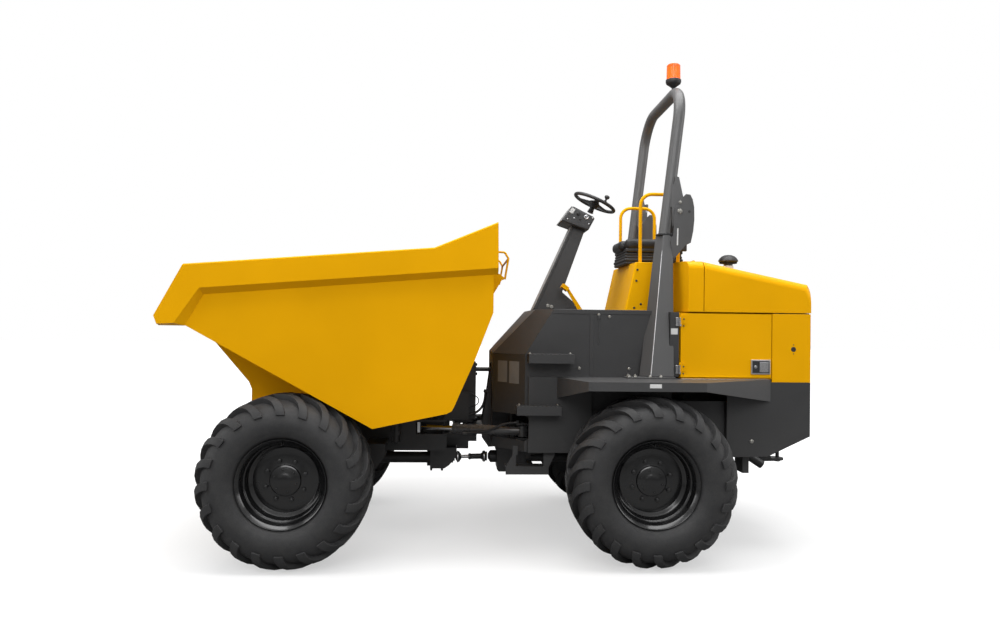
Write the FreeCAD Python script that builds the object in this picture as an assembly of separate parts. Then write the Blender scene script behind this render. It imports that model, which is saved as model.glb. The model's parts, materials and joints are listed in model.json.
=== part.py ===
import FreeCAD, Part
import math
import os

# A nine-tonne site dumper: an articulated machine with a forward-tipping skip.
# Millimetres. +X points forward, +Y to the operator's left, +Z up.
# Heights are counted from the chassis datum, which stands DATUM above the ground, and save()
# lifts every node by that much. The origin is on the ground, below the middle of the length.

V = FreeCAD.Vector
os.makedirs("parts", exist_ok=True)

# ---------------------------------------------------------------- driving sizes
FRONT_AXLE_X = 1515.0
REAR_AXLE_X = -1008.0
TYRE_RADIUS = 590.0
TYRE_WIDTH = 504.0
TRACK_HALF = 995.0
RIM_RADIUS = 303.0
AXLE_Z = 577.0
DATUM = TYRE_RADIUS - AXLE_Z

STEER_X = 235.0
TIP_X = 1800.0
TIP_Z = 1020.0

SKIP_HALF = 1110.0
RIM_HALF = 1160.0
TROUGH_HALF = 440.0
PLATE = 8.0

TUB_HALF = 660.0
TUB_FRONT = 80.0
BAY_HALF = 750.0
DECK_Z = 1777.0
FENDER_Z = 1274.0
FENDER_HALF = 1200.0
HOOD_BREAK_Z = 1769.0

HOOP_HALF = 569.0
HOOP_TUBE_R = 44.0
FOLD_X = -1324.0
FOLD_Z = 2536.0
BEACON = (-1339.0, 300.0, 3549.0)

RAM_BASE = (1000.0, 610.0)
RAM_TOP = (1411.0, 1120.0)
RAM_Y = 550.0
RAM_LUGS = ((482.0, 500.0), (600.0, 618.0))
STEER_RAM_BASE = (-150.0, 460.0)
STEER_RAM_FRONT = (655.0, 235.0)
STEER_RAM_Z = 845.0
STEER_EARS = ((780.0, 796.0), (894.0, 910.0))
PROP_REAR = (109.0, 0.0, 579.0)
PROP_FRONT = (371.0, 0.0, 573.0)

# routes of the three hoses round the steering joint
JOINT_HOSE = ((125, 112, 1108), (126.5, 112, 1070), (134, 112, 1030), (150, 112, 992), (176, 112, 962),
              (210, 112, 940), (255, 112, 928))
MAST_HOSE = ((222, 106, 1090), (200, 106, 1080), (181, 106, 1060), (176, 106, 1034), (190, 106, 1010),
             (214, 106, 999), (250, 106, 992))
RAM_HOSE = ((-84, 490, 912), (-42, 484, 909), (2, 472, 896), (47, 459, 874), (96, 446, 852),
            (150, 431, 835), (210, 414, 823), (274, 395.5, 818))


# ---------------------------------------------------------------- shape helpers
def block(x, y, z):
    """A box between two values on each axis."""
    return Part.makeBox(x[1] - x[0], y[1] - y[0], z[1] - z[0], V(x[0], y[0], z[0]))


def face_of(points):
    return Part.Face(Part.makePolygon([V(*p) for p in points] + [V(*points[0])]))


def slab(points, thickness):
    """A flat plate: a closed outline in space, thickened by a vector."""
    return face_of(points).extrude(V(*thickness))


def prism_y(outline, y0, y1):
    """An outline of (x, z) points, extruded from y0 to y1."""
    return slab([(x, y0, z) for x, z in outline], (0, y1 - y0, 0))


def prism_z(outline, z0, z1):
    """An outline of (x, y) points, extruded from z0 to z1."""
    return slab([(x, y, z0) for x, y in outline], (0, 0, z1 - z0))


def prism_x(outline, x0, x1):
    """An outline of (y, z) points, extruded from x0 to x1."""
    return slab([(x0, y, z) for y, z in outline], (x1 - x0, 0, 0))


def rod(a, b, radius):
    """A round bar from point a to point b."""
    start = V(*a)
    along = V(*b) - start
    return Part.makeCylinder(radius, along.Length, start, along)


def cone(a, b, radius_a, radius_b):
    start = V(*a)
    along = V(*b) - start
    return Part.makeCone(radius_a, radius_b, along.Length, start, along)


def union(shapes):
    first, rest = shapes[0], shapes[1:]
    return first.fuse(rest).removeSplitter() if rest else first


def mirrored(shape):
    """The same piece on the machine's other side."""
    return shape.mirror(V(0, 0, 0), V(0, 1, 0))


def both_sides(shape):
    return [shape, mirrored(shape)]


def offset_outline(outline, distances):
    """Move each side of an anticlockwise outline inwards by its own distance."""
    count = len(outline)
    lines = []
    for i in range(count):
        (x0, z0), (x1, z1) = outline[i], outline[(i + 1) % count]
        length = math.hypot(x1 - x0, z1 - z0)
        normal = (-(z1 - z0) / length, (x1 - x0) / length)
        reach = normal[0] * x0 + normal[1] * z0 + distances[i]
        lines.append((normal, reach))
    moved = []
    for i in range(count):
        (a, b), p = lines[i - 1]
        (c, d), q = lines[i]
        det = a * d - b * c
        moved.append(((p * d - b * q) / det, (a * q - p * c) / det))
    return moved


def bent_path(points, radius):
    """Straight runs joined by tangent arcs of one radius."""
    corners = [V(*p) for p in points]
    edges = []
    start = corners[0]
    for i in range(1, len(corners) - 1):
        before = (corners[i] - corners[i - 1]).normalize()
        after = (corners[i + 1] - corners[i]).normalize()
        half_turn = before.getAngle(after) / 2.0
        setback = radius * math.tan(half_turn)
        arc_start = corners[i] - before * setback
        arc_end = corners[i] + after * setback
        inward = (after - before).normalize()
        middle = corners[i] + inward * (radius / math.cos(half_turn) - radius)
        if (arc_start - start).Length > 0.01:
            edges.append(Part.LineSegment(start, arc_start).toShape())
        edges.append(Part.Arc(arc_start, middle, arc_end).toShape())
        start = arc_end
    edges.append(Part.LineSegment(start, corners[-1]).toShape())
    return Part.Wire(edges)


def bent_bar(points, bend_radius, bar_radius):
    """A round bar bent round the corners of a route."""
    path = bent_path(points, bend_radius)
    along = (V(*points[1]) - V(*points[0])).normalize()
    ring = Part.Wire(Part.makeCircle(bar_radius, V(*points[0]), along))
    return path.makePipeShell([ring], True, True)


def hose(name, points, radius):
    """A hose: straight runs joined by arcs as large as the runs allow. Prints its bend radii."""
    corners = [V(*p) for p in points]
    edges = []
    bends = []
    start = corners[0]
    for i in range(1, len(corners) - 1):
        before = corners[i] - corners[i - 1]
        after = corners[i + 1] - corners[i]
        setback = 0.45 * min(before.Length, after.Length)
        before.normalize()
        after.normalize()
        half_turn = before.getAngle(after) / 2.0
        bend = setback / math.tan(half_turn)
        bends.append(bend)
        arc_start = corners[i] - before * setback
        arc_end = corners[i] + after * setback
        inward = (after - before).normalize()
        middle = corners[i] + inward * (bend / math.cos(half_turn) - bend)
        edges.append(Part.LineSegment(start, arc_start).toShape())
        edges.append(Part.Arc(arc_start, middle, arc_end).toShape())
        start = arc_end
    edges.append(Part.LineSegment(start, corners[-1]).toShape())
    path = Part.Wire(edges)
    ring = Part.Wire(Part.makeCircle(radius, corners[0], (corners[1] - corners[0]).normalize()))
    tube = path.makePipeShell([ring], True, True)
    print("%s: length %.0f, radii %s, volume against section x length %.4f" % (
        name, path.Length, " ".join("%.0f" % b for b in bends),
        tube.Volume / (math.pi * radius * radius * path.Length)))
    return tube


def fitting(end, before, length, radius):
    """A round fitting that carries on straight from a hose's end."""
    start = V(*end)
    return Part.makeCylinder(radius, length, start, (start - V(*before)).normalize())


def revolved(profile, centre, axis):
    """Turn a closed (radius, along) profile about an axis that is +Y or +Z."""
    if axis == "y":
        points = [(centre[0] + r, centre[1] + s, centre[2]) for r, s in profile]
        direction = V(0, 1, 0)
    else:
        points = [(centre[0] + r, centre[1], centre[2] + s) for r, s in profile]
        direction = V(0, 0, 1)
    return face_of(points).revolve(V(*centre), direction, 360)


def rounded(shape, radius, chosen):
    """Round the straight edges whose two ends the test accepts."""
    edges = [e for e in shape.Edges if len(e.Vertexes) == 2
             and chosen(e.Vertexes[0].Point, e.Vertexes[1].Point)]
    return shape.makeFillet(radius, edges)


def save(node, shape):
    """Write one node, as one solid or as solids that don't touch."""
    solids = shape.Solids if hasattr(shape, "Solids") else [s for p in shape for s in p.Solids]
    whole = solids[0].copy() if len(solids) == 1 else Part.makeCompound(solids)
    whole.translate(V(0, 0, DATUM))
    if not whole.isValid():
        print("INVALID", node)
    whole.exportStep("parts/" + node + ".step")
    box = whole.BoundBox
    print("%-22s solids %d  x %6.0f %6.0f  y %6.0f %6.0f  z %6.0f %6.0f  vol %.4f" % (
        node, len(solids), box.XMin, box.XMax, box.YMin, box.YMax, box.ZMin, box.ZMax,
        sum(s.Volume for s in solids) / 1e9))


# ---------------------------------------------------------------- wheels
def tyre(x, y):
    """A wide flotation tyre, round to the tops of its tread bars."""
    half = TYRE_WIDTH / 2.0
    bead = RIM_RADIUS - 14.0
    r = TYRE_RADIUS
    outer = [(bead, -half + 62), (r - 215, -half + 22), (r - 150, -half), (r - 90, -half + 4),
             (r - 42, -half + 24), (r - 18, -half + 66), (r, -half + 150)]
    outer = outer + [(radius, -s) for radius, s in reversed(outer)]
    inner = [(bead, half - 88), (r - 200, half - 60), (r - 110, half - 52), (r - 62, half - 110)]
    inner = inner + [(radius, -s) for radius, s in reversed(inner)]
    return revolved(outer + inner, (x, y, AXLE_Z), "y")


def wheel_rim(x, side):
    """A stepped steel rim: flange, bead seats, drop centre, a deep-set disc and eight nuts."""
    flange = 210.0
    skin = 11.0
    seat, ledge, drop = RIM_RADIUS - 18, RIM_RADIUS - 24, RIM_RADIUS - 46
    outside = [(RIM_RADIUS, flange), (RIM_RADIUS, flange - 14), (seat, flange - 22),
               (ledge, flange - 70), (drop, flange - 92), (drop, flange - 150),
               (drop, -flange + 92), (ledge, -flange + 70), (seat, -flange + 22),
               (RIM_RADIUS, -flange + 14), (RIM_RADIUS, -flange)]
    inside = [(RIM_RADIUS - 12, -flange), (seat - skin, -flange + 16), (ledge - skin, -flange + 66),
              (drop - skin, -flange + 88), (drop - skin, 26), (236, 18), (236, 44),
              (drop - skin, 62), (drop - skin, flange - 90), (ledge - skin, flange - 68),
              (seat - skin, flange - 16), (RIM_RADIUS - 12, flange)]
    disc = [(240, 20), (240, 34), (190, 38), (120, 40), (112, 58), (84, 64), (0, 64), (0, 30),
            (70.3, 30), (70.3, -70), (120, -70), (124, 14), (190, 20)]
    y = TRACK_HALF
    barrel = revolved(outside + inside, (x, y, AXLE_Z), "y")
    centre = revolved(disc, (x, y, AXLE_Z), "y")
    wheel = union([barrel, centre])
    for i in range(8):
        turn = math.radians(22.5 + 45.0 * i)
        px = x + 139 * math.cos(turn)
        pz = AXLE_Z + 139 * math.sin(turn)
        wheel = wheel.fuse(rod((px, y + 36, pz), (px, y + 54, pz), 12))
    return wheel if side > 0 else mirrored(wheel)


for end, axle_x in (("front", FRONT_AXLE_X), ("rear", REAR_AXLE_X)):
    for side_name, side in (("left", 1), ("right", -1)):
        rim = wheel_rim(axle_x, side)
        save(end + "_tyre_" + side_name, tyre(axle_x, side * TRACK_HALF).cut(rim))
        save(end + "_wheel_" + side_name, rim)


def axle(x, nose):
    """A drive axle: differential, tapered arms, planetary hubs and wheel spindles."""
    housing = [(0, -215), (95, -205), (165, -130), (188, -40), (188, 40), (165, 130), (95, 205), (0, 215)]
    shapes = [revolved(housing, (x, 0, AXLE_Z), "y")]
    for side in (1, -1):
        shapes.append(cone((x, side * 150, AXLE_Z), (x, side * 600, AXLE_Z), 112, 84))
        drum = [(0, 0), (120, 0), (168, 26), (168, 150), (120, 176), (98, 250), (98, 310), (0, 310)]
        drum_solid = revolved(drum, (x, 590, AXLE_Z), "y")
        shapes.append(drum_solid if side > 0 else mirrored(drum_solid))
        shapes.append(rod((x, side * 880, AXLE_Z), (x, side * (TRACK_HALF + 20), AXLE_Z), 70))
        shapes.append(block((x - 75, x + 75), sorted((side * 240, side * 360)), (AXLE_Z, 696)))
    shapes.append(cone((x, 0, AXLE_Z + 8), (x + nose * 330, 0, AXLE_Z + 8), 150, 62))
    return union(shapes)


FRONT_AXLE = axle(FRONT_AXLE_X, -1)
REAR_AXLE = axle(REAR_AXLE_X, 1)
save("front_axle", FRONT_AXLE)
save("rear_axle", REAR_AXLE)


# ---------------------------------------------------------------- skip
SKIP_LIP = (2340.0, 1640.0)
SKIP_NOSE = (2177.0, 1623.0)
SKIP_LOW = (927.0, 938.0)
SKIP_REAR_LOW = (425.0, 1043.0)
SKIP_FRONT_TOP = (2186.0, 2036.0)
SKIP_KINK = (520.0, 2173.0)
SKIP_REAR_TOP = (89.0, 2354.0)
WALL_TOP = (97.0, 2190.0)
WALL_FOOT = (335.0, 1785.0)


def skip_body():
    """The open-ended load box: leaning back wall, arch plates and a trough between the tyres."""
    hull = [SKIP_REAR_LOW, SKIP_LOW, SKIP_NOSE, SKIP_LIP, SKIP_FRONT_TOP, SKIP_KINK, SKIP_REAR_TOP,
            WALL_TOP, WALL_FOOT]
    opened = -400.0
    hollow = offset_outline(hull, [PLATE, PLATE, PLATE, opened, opened, opened, PLATE, PLATE, PLATE])
    trough = [SKIP_LOW, (1865, 938), (1900, 973), (1900, 1150), (1923, 1204), (2290, 1630), (2172, 1700),
              (950, 1040)]
    trough_hollow = offset_outline(trough, [PLATE] * 5 + [-200.0, -60.0, -60.0])
    body = prism_y(hull, -SKIP_HALF, SKIP_HALF).fuse(prism_y(trough, -TROUGH_HALF, TROUGH_HALF))
    inner = SKIP_HALF - PLATE
    body = body.cut(prism_y(hollow, -inner, inner))
    inner = TROUGH_HALF - PLATE
    body = body.cut(prism_y(trough_hollow, -inner, inner))
    flank = [SKIP_REAR_LOW, SKIP_LOW, SKIP_NOSE, SKIP_LIP, SKIP_FRONT_TOP, SKIP_KINK, SKIP_REAR_TOP,
             (86, 2040), (114, 2000), (114, 1737), (239, 1405), (374, 1092), (392, 1060)]
    side_plate = prism_y(flank, SKIP_HALF - PLATE, SKIP_HALF)
    shapes = [body] + both_sides(side_plate)
    whole = union(shapes)
    pivot = rod((TIP_X, -600, TIP_Z), (TIP_X, 600, TIP_Z), 30.3)
    inner_clear = block((TIP_X - 80, TIP_X + 80), (-TROUGH_HALF + PLATE, TROUGH_HALF - PLATE),
                        (TIP_Z - 60, TIP_Z + 60))
    return whole.cut(pivot.cut(inner_clear))


def skip_lugs(body):
    """The hinge bosses beside the trough, and the lugs that the tipping rams push on."""
    lug = [(1320, 1120), (1362, 1085), (1411, 1066), (1462, 1090), (1486, 1200), (1500, 1262), (1320, 1180)]
    floor = prism_y([SKIP_LOW, SKIP_NOSE, (2177, 2000), (927, 2000)], 470, 630)
    shapes = []
    for y0, y1 in RAM_LUGS:
        plate = prism_y(lug, y0, y1).cut(floor)
        shapes.append(plate.cut(rod((RAM_TOP[0], 480, RAM_TOP[1]), (RAM_TOP[0], 620, RAM_TOP[1]), 24.0)))
    boss = rod((TIP_X, TROUGH_HALF, TIP_Z), (TIP_X, 470, TIP_Z), 62).cut(body)
    shapes.append(boss.cut(rod((TIP_X, 430, TIP_Z), (TIP_X, 480, TIP_Z), 30.3)))
    return shapes + [mirrored(s) for s in shapes]


def skip_rim():
    """The folded box rail round the top of both flanks and across the lip."""
    outer = [(2373, 1689), SKIP_FRONT_TOP, SKIP_KINK, SKIP_REAR_TOP, (84, 2040), (2078, 1877), (2240, 1640),
             (2352, 1634)]
    inner = [(2373, 1689), SKIP_FRONT_TOP, SKIP_KINK, SKIP_REAR_TOP, (84, 2000), (2062, 1834), (2184, 1623),
             (2352, 1623)]
    wires = [Part.makePolygon([V(x, y, z) for x, z in pts + [pts[0]]])
             for y, pts in ((SKIP_HALF, inner), (RIM_HALF, outer))]
    rail = Part.makeLoft(wires, True, True)
    rail = rounded(rail, 12, lambda a, b: min(a.y, b.y) > RIM_HALF - 1
                   and (a.z + b.z) / 2 > 2000 and abs(a.x - b.x) > 300 and max(a.z, b.z) > 2045)
    lip = [(2184, 1623), (2352, 1623), (2373, 1650), (2373, 1689), (2340, 1689), (2240, 1634)]
    cross = prism_y(lip, -SKIP_HALF, SKIP_HALF)
    return union(both_sides(rail) + [cross.cut(prism_y(
        [SKIP_NOSE, SKIP_LIP, SKIP_FRONT_TOP, (1900, 1900)], -SKIP_HALF, SKIP_HALF))])


def skip_handle():
    """The tube rail on the back of the skip, on two gussets."""
    shapes = []
    for side in (1, -1):
        y = side * 400.0
        plate = [(-12, 2012), (20, 2000), (82, 1893), (262, 1893), (165, 2062), (40, 2050)]
        shapes.append(prism_y(plate, y - 4, y + 4))
    bar = bent_bar([(115, 400, 2224), (-2, 400, 2216), (-30, 400, 2170), (-4, 400, 2008)], 22, 8)
    cross = rod((-30, -400, 2168), (-30, 400, 2168), 8)
    return union(shapes + both_sides(bar) + [cross])


SKIP_BODY = skip_body()
save("skip_body", SKIP_BODY)
save("skip_lugs", skip_lugs(SKIP_BODY))
save("skip_rim", skip_rim().cut(SKIP_BODY))
save("skip_handle", skip_handle().cut(SKIP_BODY).cut(block((97, 400), (-600, 600), (2100, 2300))))


# ---------------------------------------------------------------- front chassis
def front_frame():
    """Twin beams under the skip, tip hinge lugs at the nose and the steering mast at the tail."""
    shapes = []
    beam = [(430, 669), (1650, 669), (1880, 792), (1880, 905), (430, 905)]
    hinge_lug = [(1620, 740), (1870, 800), (1880, 905), (1866, 1050), (1830, 1088), (1770, 1088),
                 (1734, 1050), (1640, 905)]
    ram_lug = [(880, 677), (950, 580), (1000, 556), (1050, 580), (1120, 677), (1120, 760), (880, 760)]
    wing = [(258, 893), (464, 893), (351, 1118), (258, 1118)]
    mast = [(202, 893), (464, 893), (464, 905), (400, 1118), (336, 1240), (336, 1338), (310, 1350),
            (202, 1350)]
    keel = [(189, 705), (255, 705), (255, 645), (350, 645), (350, 669), (464, 669), (464, 757), (189, 757)]
    shapes += both_sides(prism_y(beam, 285, 300))
    shapes += both_sides(prism_y(hinge_lug, 476, 500))
    shapes += both_sides(block((1660, 1860), (285, 500), (800, 824)))
    for y0, y1 in RAM_LUGS:
        shapes += both_sides(prism_y(ram_lug, y0, y1))
    shapes += both_sides(block((880, 1030), (285, 618), (745, 765)))
    # skip rests: a post under each side of the load box
    shapes += both_sides(rod((818, 400, 752), (818, 400, 930), 32))
    shapes += both_sides(cone((818, 400, 730), (818, 400, 752), 10, 32))
    shapes += both_sides(block((788, 848), (285, 430), (800, 830)))
    for x in (450, 860, 1250, 1640):
        shapes.append(block((x, x + 14), (-300, 300), (690, 895)))
    shapes.append(block((1240, 1800), (-300, 300), (677, 691)))
    shapes.append(block((1440, 1600), (-360, 360), (696, 720)))
    # steering mast: two cheeks, a web, side wings and the forks for the two steering pins
    shapes += both_sides(prism_y(mast, 84, 100))
    shapes += both_sides(prism_y(wing, 172, 186))
    shapes.append(block((300, 314), (-100, 100), (900, 1345)))
    shapes.append(block((300, 464), (-190, 190), (888, 905)))
    shapes.append(block((320, 464), (-190, 190), (756, 790)))
    shapes.append(block((322, 340), (-72, 72), (790, 890)))
    shapes.append(prism_y(keel, -34, 34))
    for z0, z1, reach in ((862, 893, 50), (756, 790, 50), (1318, 1338, 46), (1242, 1262, 46)):
        eye = Part.makeCylinder(reach, z1 - z0, V(STEER_X, 0, z0))
        shapes.append(eye.fuse(block((STEER_X, 335), (-reach, reach), (z0, z1))))
    for z0, z1 in STEER_EARS:
        shapes += both_sides(block((600, 700), (180, 290), (z0, z1)))
        shapes += both_sides(rod((*STEER_RAM_FRONT, z0 - 6), (*STEER_RAM_FRONT, z1 + 6), 17).common(
            block((600, 700), (180, 290), (z0 - 6, z1) if z0 < STEER_RAM_Z else (z0, z1 + 6))))
    # fittings that the joint hose and the mast hose end in
    shapes.append(fitting(JOINT_HOSE[-1], JOINT_HOSE[-2], 34, 11.5))
    shapes.append(block((270, 296), (98, 122), (909, 934)))
    shapes.append(fitting(MAST_HOSE[0], MAST_HOSE[1], 20, 5.5))
    shapes.append(block((232, 250), (98, 112), (1088, 1108)))
    shapes.append(fitting(MAST_HOSE[-1], MAST_HOSE[-2], 20, 5.5))
    shapes.append(block((262, 280), (98, 112), (978, 998)))
    whole = union(shapes)
    # the steering rams sweep through this space
    sweep = [(200, 130), (560, 172), (670, 190), (670, 340), (200, 640)]
    whole = whole.cut(Part.makeCompound(both_sides(prism_z(sweep, 797, 893))))
    pins = [rod((STEER_X, 0, 750), (STEER_X, 0, 896), 30), rod((STEER_X, 0, 1236), (STEER_X, 0, 1376), 15)]
    pins += both_sides(rod((TIP_X, 441, TIP_Z), (TIP_X, 506, TIP_Z), 30))
    pins += both_sides(rod((RAM_BASE[0], 476, RAM_BASE[1]), (RAM_BASE[0], 624, RAM_BASE[1]), 24))
    return union([whole] + pins)


def front_driveline():
    """The shaft from the centre bearing to the front axle, with its bearing bracket."""
    shaft = rod((395, 0, 569), (1210, 0, 569), 45)
    joint = rod((378, 0, 573), (409, 0, 572), 49)
    cross = Part.makeSphere(15, V(*PROP_FRONT))
    stalk = rod(PROP_FRONT, (385, 0, 573), 12)
    wall = [(-152, 668), (-152, 505), (-62, 470), (62, 470), (152, 505), (152, 668)]
    shapes = [shaft, joint, cross, stalk, prism_x(wall, 458, 476), prism_x(wall, 546, 562)]
    cheek = [(458, 474), (562, 479), (562, 668), (350, 668), (350, 600), (408, 530), (450, 500)]
    shapes += both_sides(prism_y(cheek, 140, 152).common(prism_x(wall, 340, 570)))
    shapes.append(rod((440, 0, 569), (590, 0, 569), 70))
    return union(shapes)


save("front_frame", front_frame().cut(FRONT_AXLE))
save("front_driveline", front_driveline().cut(FRONT_AXLE))


# ---------------------------------------------------------------- rams
def make_ram(base, top, barrel_r, rod_r, share, tail, eye_r, eye_half, pin, base_pin_r, top_bore_r):
    """A hydraulic ram between two pins: a barrel with its gland, and a rod with its eye.

    The rod's hidden end stands tail from the base pin.
    """
    a = V(*base)
    b = V(*top)
    along = (b - a).normalize()
    length = (b - a).Length
    gland = length * share

    def eye(centre, radius):
        return Part.makeCylinder(radius, eye_half * 2, centre - pin * eye_half, pin)

    def bore(centre, radius):
        return Part.makeCylinder(radius, eye_half * 4, centre - pin * eye_half * 2, pin)

    barrel = union([Part.makeCylinder(barrel_r, gland - eye_r * 0.5, a + along * (eye_r * 0.5), along),
                    Part.makeCylinder(barrel_r * 1.1, 46, a + along * (gland - 46), along), eye(a, eye_r)])
    chamber = Part.makeCylinder(rod_r + 0.4, gland, a + along * (eye_r + 12), along)
    barrel = barrel.cut(chamber).cut(bore(a, base_pin_r + 0.3))
    shaft = Part.makeCylinder(rod_r, length - tail - eye_r * 0.5, a + along * tail, along)
    shaft = union([shaft, eye(b, eye_r * 0.9)]).cut(bore(b, top_bore_r))
    return barrel, shaft


TIP_RAM = make_ram((RAM_BASE[0], RAM_Y, RAM_BASE[1]), (RAM_TOP[0], RAM_Y, RAM_TOP[1]),
                   44, 28, 0.80, 68, 50, 43, V(0, 1, 0), 24, 27)
save("tip_ram_barrel_left", TIP_RAM[0])
save("tip_ram_barrel_right", mirrored(TIP_RAM[0]))
save("tip_ram_rod_left", TIP_RAM[1])
save("tip_ram_rod_right", mirrored(TIP_RAM[1]))
STEER_RAM = make_ram((STEER_RAM_BASE[0], STEER_RAM_BASE[1], STEER_RAM_Z),
                     (STEER_RAM_FRONT[0], STEER_RAM_FRONT[1], STEER_RAM_Z),
                     37, 20, 0.66, 262, 38, 40, V(0, 0, 1), 17, 20)
# the port near the gland that the ram hose runs to
STEER_BARREL = union([STEER_RAM[0], rod((288.7, 358.1, 818), (297.3, 388.9, 818), 12),
                      fitting(RAM_HOSE[-1], RAM_HOSE[-2], 28, 10.5)])
save("steer_ram_barrel_left", STEER_BARREL)
save("steer_ram_barrel_right", mirrored(STEER_BARREL))
save("steer_ram_rod_left", STEER_RAM[1])
save("steer_ram_rod_right", mirrored(STEER_RAM[1]))

# ---------------------------------------------------------------- rear chassis
def rear_frame():
    """Twin beams, the tapered nose plates, the lower steering tongue and the upper link."""
    shapes = []
    beam = [(-70, 716), (-2190, 716), (-2190, 880), (-70, 880)]
    nose = [(-80, 690), (96, 676), (152, 754), (150, 869), (111, 1108), (87, 1290), (62, 1330), (-80, 1330)]
    for side in (1, -1):
        y0, y1 = sorted((side * 290, side * 306))
        shapes.append(prism_y(beam, y0, y1))
        y0, y1 = sorted((side * 134, side * 150))
        shapes.append(prism_y(nose, y0, y1))
        y0, y1 = sorted((side * 134, side * 306))
        shapes.append(block((-80, -64), (y0, y1), (716, 1330)))
        for z0, z1 in STEER_EARS:
            y0, y1 = sorted((side * 290, side * 505))
            shapes.append(block((-200, -100), (y0, y1), (z0, z1)))
        shapes.append(rod((STEER_RAM_BASE[0], side * STEER_RAM_BASE[1], 772),
                          (STEER_RAM_BASE[0], side * STEER_RAM_BASE[1], 918), 17))
    for x in (-420, -800, -1250, -1600, -2190):
        shapes.append(block((x, x + 14), (-306, 306), (730, 850)))
    shapes.append(block((REAR_AXLE_X - 85, REAR_AXLE_X + 85), (-370, 370), (696, 716)))
    # lower tongue
    tongue = [(-80, -150), (120, -150), (STEER_X, -70), (STEER_X, 70), (120, 150), (-80, 150)]
    shapes.append(prism_z(tongue, 796, 856))
    shapes.append(Part.makeCylinder(70, 60, V(STEER_X, 0, 796)))
    # bulkhead fittings that the joint hose and the ram hose start from
    shapes.append(block((90, 140), (104, 134), (1113, 1126)))
    shapes.append(fitting(JOINT_HOSE[0], JOINT_HOSE[1], 26, 13))
    shapes.append(block((-116, -102), (474, 505), (894, 930)))
    shapes.append(fitting(RAM_HOSE[0], RAM_HOSE[1], 30, 11))
    # upper link
    shapes.append(rod((60, 0, 1290), (STEER_X, 0, 1290), 17))
    shapes.append(Part.makeCylinder(36, 40, V(STEER_X, 0, 1270)))
    shapes.append(block((52, 68), (-150, 150), (1240, 1330)))
    whole = union(shapes)
    whole = whole.cut(Part.makeCylinder(30.3, 100, V(STEER_X, 0, 780)))
    return whole.cut(Part.makeCylinder(15.3, 80, V(STEER_X, 0, 1250)))


save("rear_frame", rear_frame().cut(REAR_AXLE))


def gearbox():
    """The drop box behind the joint, and the shaft that runs back to the rear axle."""
    case = [(-190, 474), (10, 474), (24, 490), (24, 640), (40, 655), (40, 700), (-560, 700), (-560, 640),
            (-240, 610), (-205, 490)]
    body = prism_y(case, -125, 125)
    flange = rod((20, 0, 579), (76, 0, 579), 50)
    feet = block((-80, -20), (-134, 134), (672, 700))
    shaft = rod((-190, 0, 577), (REAR_AXLE_X + 332, 0, 575), 40)
    return union([body, flange, feet, shaft, rod((-200, 0, 577), (-250, 0, 577), 56)])


save("gearbox", gearbox())


def prop_shaft():
    """The short telescopic shaft with a universal joint at each side of the steering joint."""
    shapes = [rod((PROP_REAR[0] + 24, 0, 578.5), (PROP_FRONT[0] - 89, 0, 575), 28),
              rod((PROP_FRONT[0] - 130, 0, 575.5), (PROP_FRONT[0] - 50, 0, 574), 20),
              rod((PROP_REAR[0] - 4, 0, 579), (PROP_REAR[0] + 46, 0, 578.6), 46),
              rod((PROP_FRONT[0] - 62, 0, 574.2), (PROP_FRONT[0] - 33, 0, 573.3), 42),
              Part.makeSphere(15, V(*PROP_REAR))]
    return union(shapes)


save("prop_shaft", prop_shaft())


def tub():
    """The operator's platform: a plate box with angled front corners and a sloping dash face."""
    wall = 6.0
    recess_y = 580.0
    plan = [(TUB_FRONT, -360), (TUB_FRONT, 360), (-147, TUB_HALF), (-1080, TUB_HALF), (-1080, recess_y), (-1270, recess_y),
            (-1270, -recess_y), (-1080, -recess_y), (-1080, -TUB_HALF), (-147, -TUB_HALF)]
    side = [(TUB_FRONT, 716), (TUB_FRONT, 1436), (-147, DECK_Z), (-1270, DECK_Z), (-1270, 790), (-520, 716)]
    shell = prism_z(plan, 700, 1800).common(prism_y(side, -TUB_HALF, TUB_HALF))
    plan_in = [(TUB_FRONT - wall, -357), (TUB_FRONT - wall, 357), (-147 - 2, TUB_HALF - wall), (-1080 + wall, TUB_HALF - wall),
               (-1080 + wall, recess_y - wall), (-1270 + wall, recess_y - wall),
               (-1270 + wall, -recess_y + wall), (-1080 + wall, -recess_y + wall),
               (-1080 + wall, -TUB_HALF + wall), (-147 - 2, -TUB_HALF + wall)]
    side_in = [(TUB_FRONT - wall, 690), (TUB_FRONT - wall, 1436 - 2), (-147 - 3, DECK_Z - wall), (-1270 + wall, DECK_Z - wall),
               (-1270 + wall, 690)]
    hollow = prism_z(plan_in, 600, 1800).common(prism_y(side_in, -TUB_HALF, TUB_HALF))
    shell = shell.cut(hollow)
    # round-cornered windows that the steering rams pass through
    window = rounded(block((-175, 130), (265, 720), (795, 985)), 34, lambda a, b: abs(a.y - b.y) > 100)
    shell = shell.cut(window).cut(mirrored(window))
    shell = shell.cut(block((60, 130), (-160, 160), (690, 1340)))
    shell = shell.cut(block((-1300, -1200), (-316, 316), (690, 890)))
    cheek = [(-171, 716), (-171, FENDER_Z), (-640, FENDER_Z), (-640, 716)]
    cheek_solid = prism_y(cheek, TUB_HALF, TUB_HALF + 40)
    cheek_solid = cheek_solid.cut(prism_y(offset_outline(cheek, [wall] * 4), TUB_HALF - 1, TUB_HALF + 34))
    cheek_solid = cheek_solid.cut(window)
    return union([shell] + both_sides(cheek_solid))


TUB = tub()
save("platform_tub", TUB)


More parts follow.
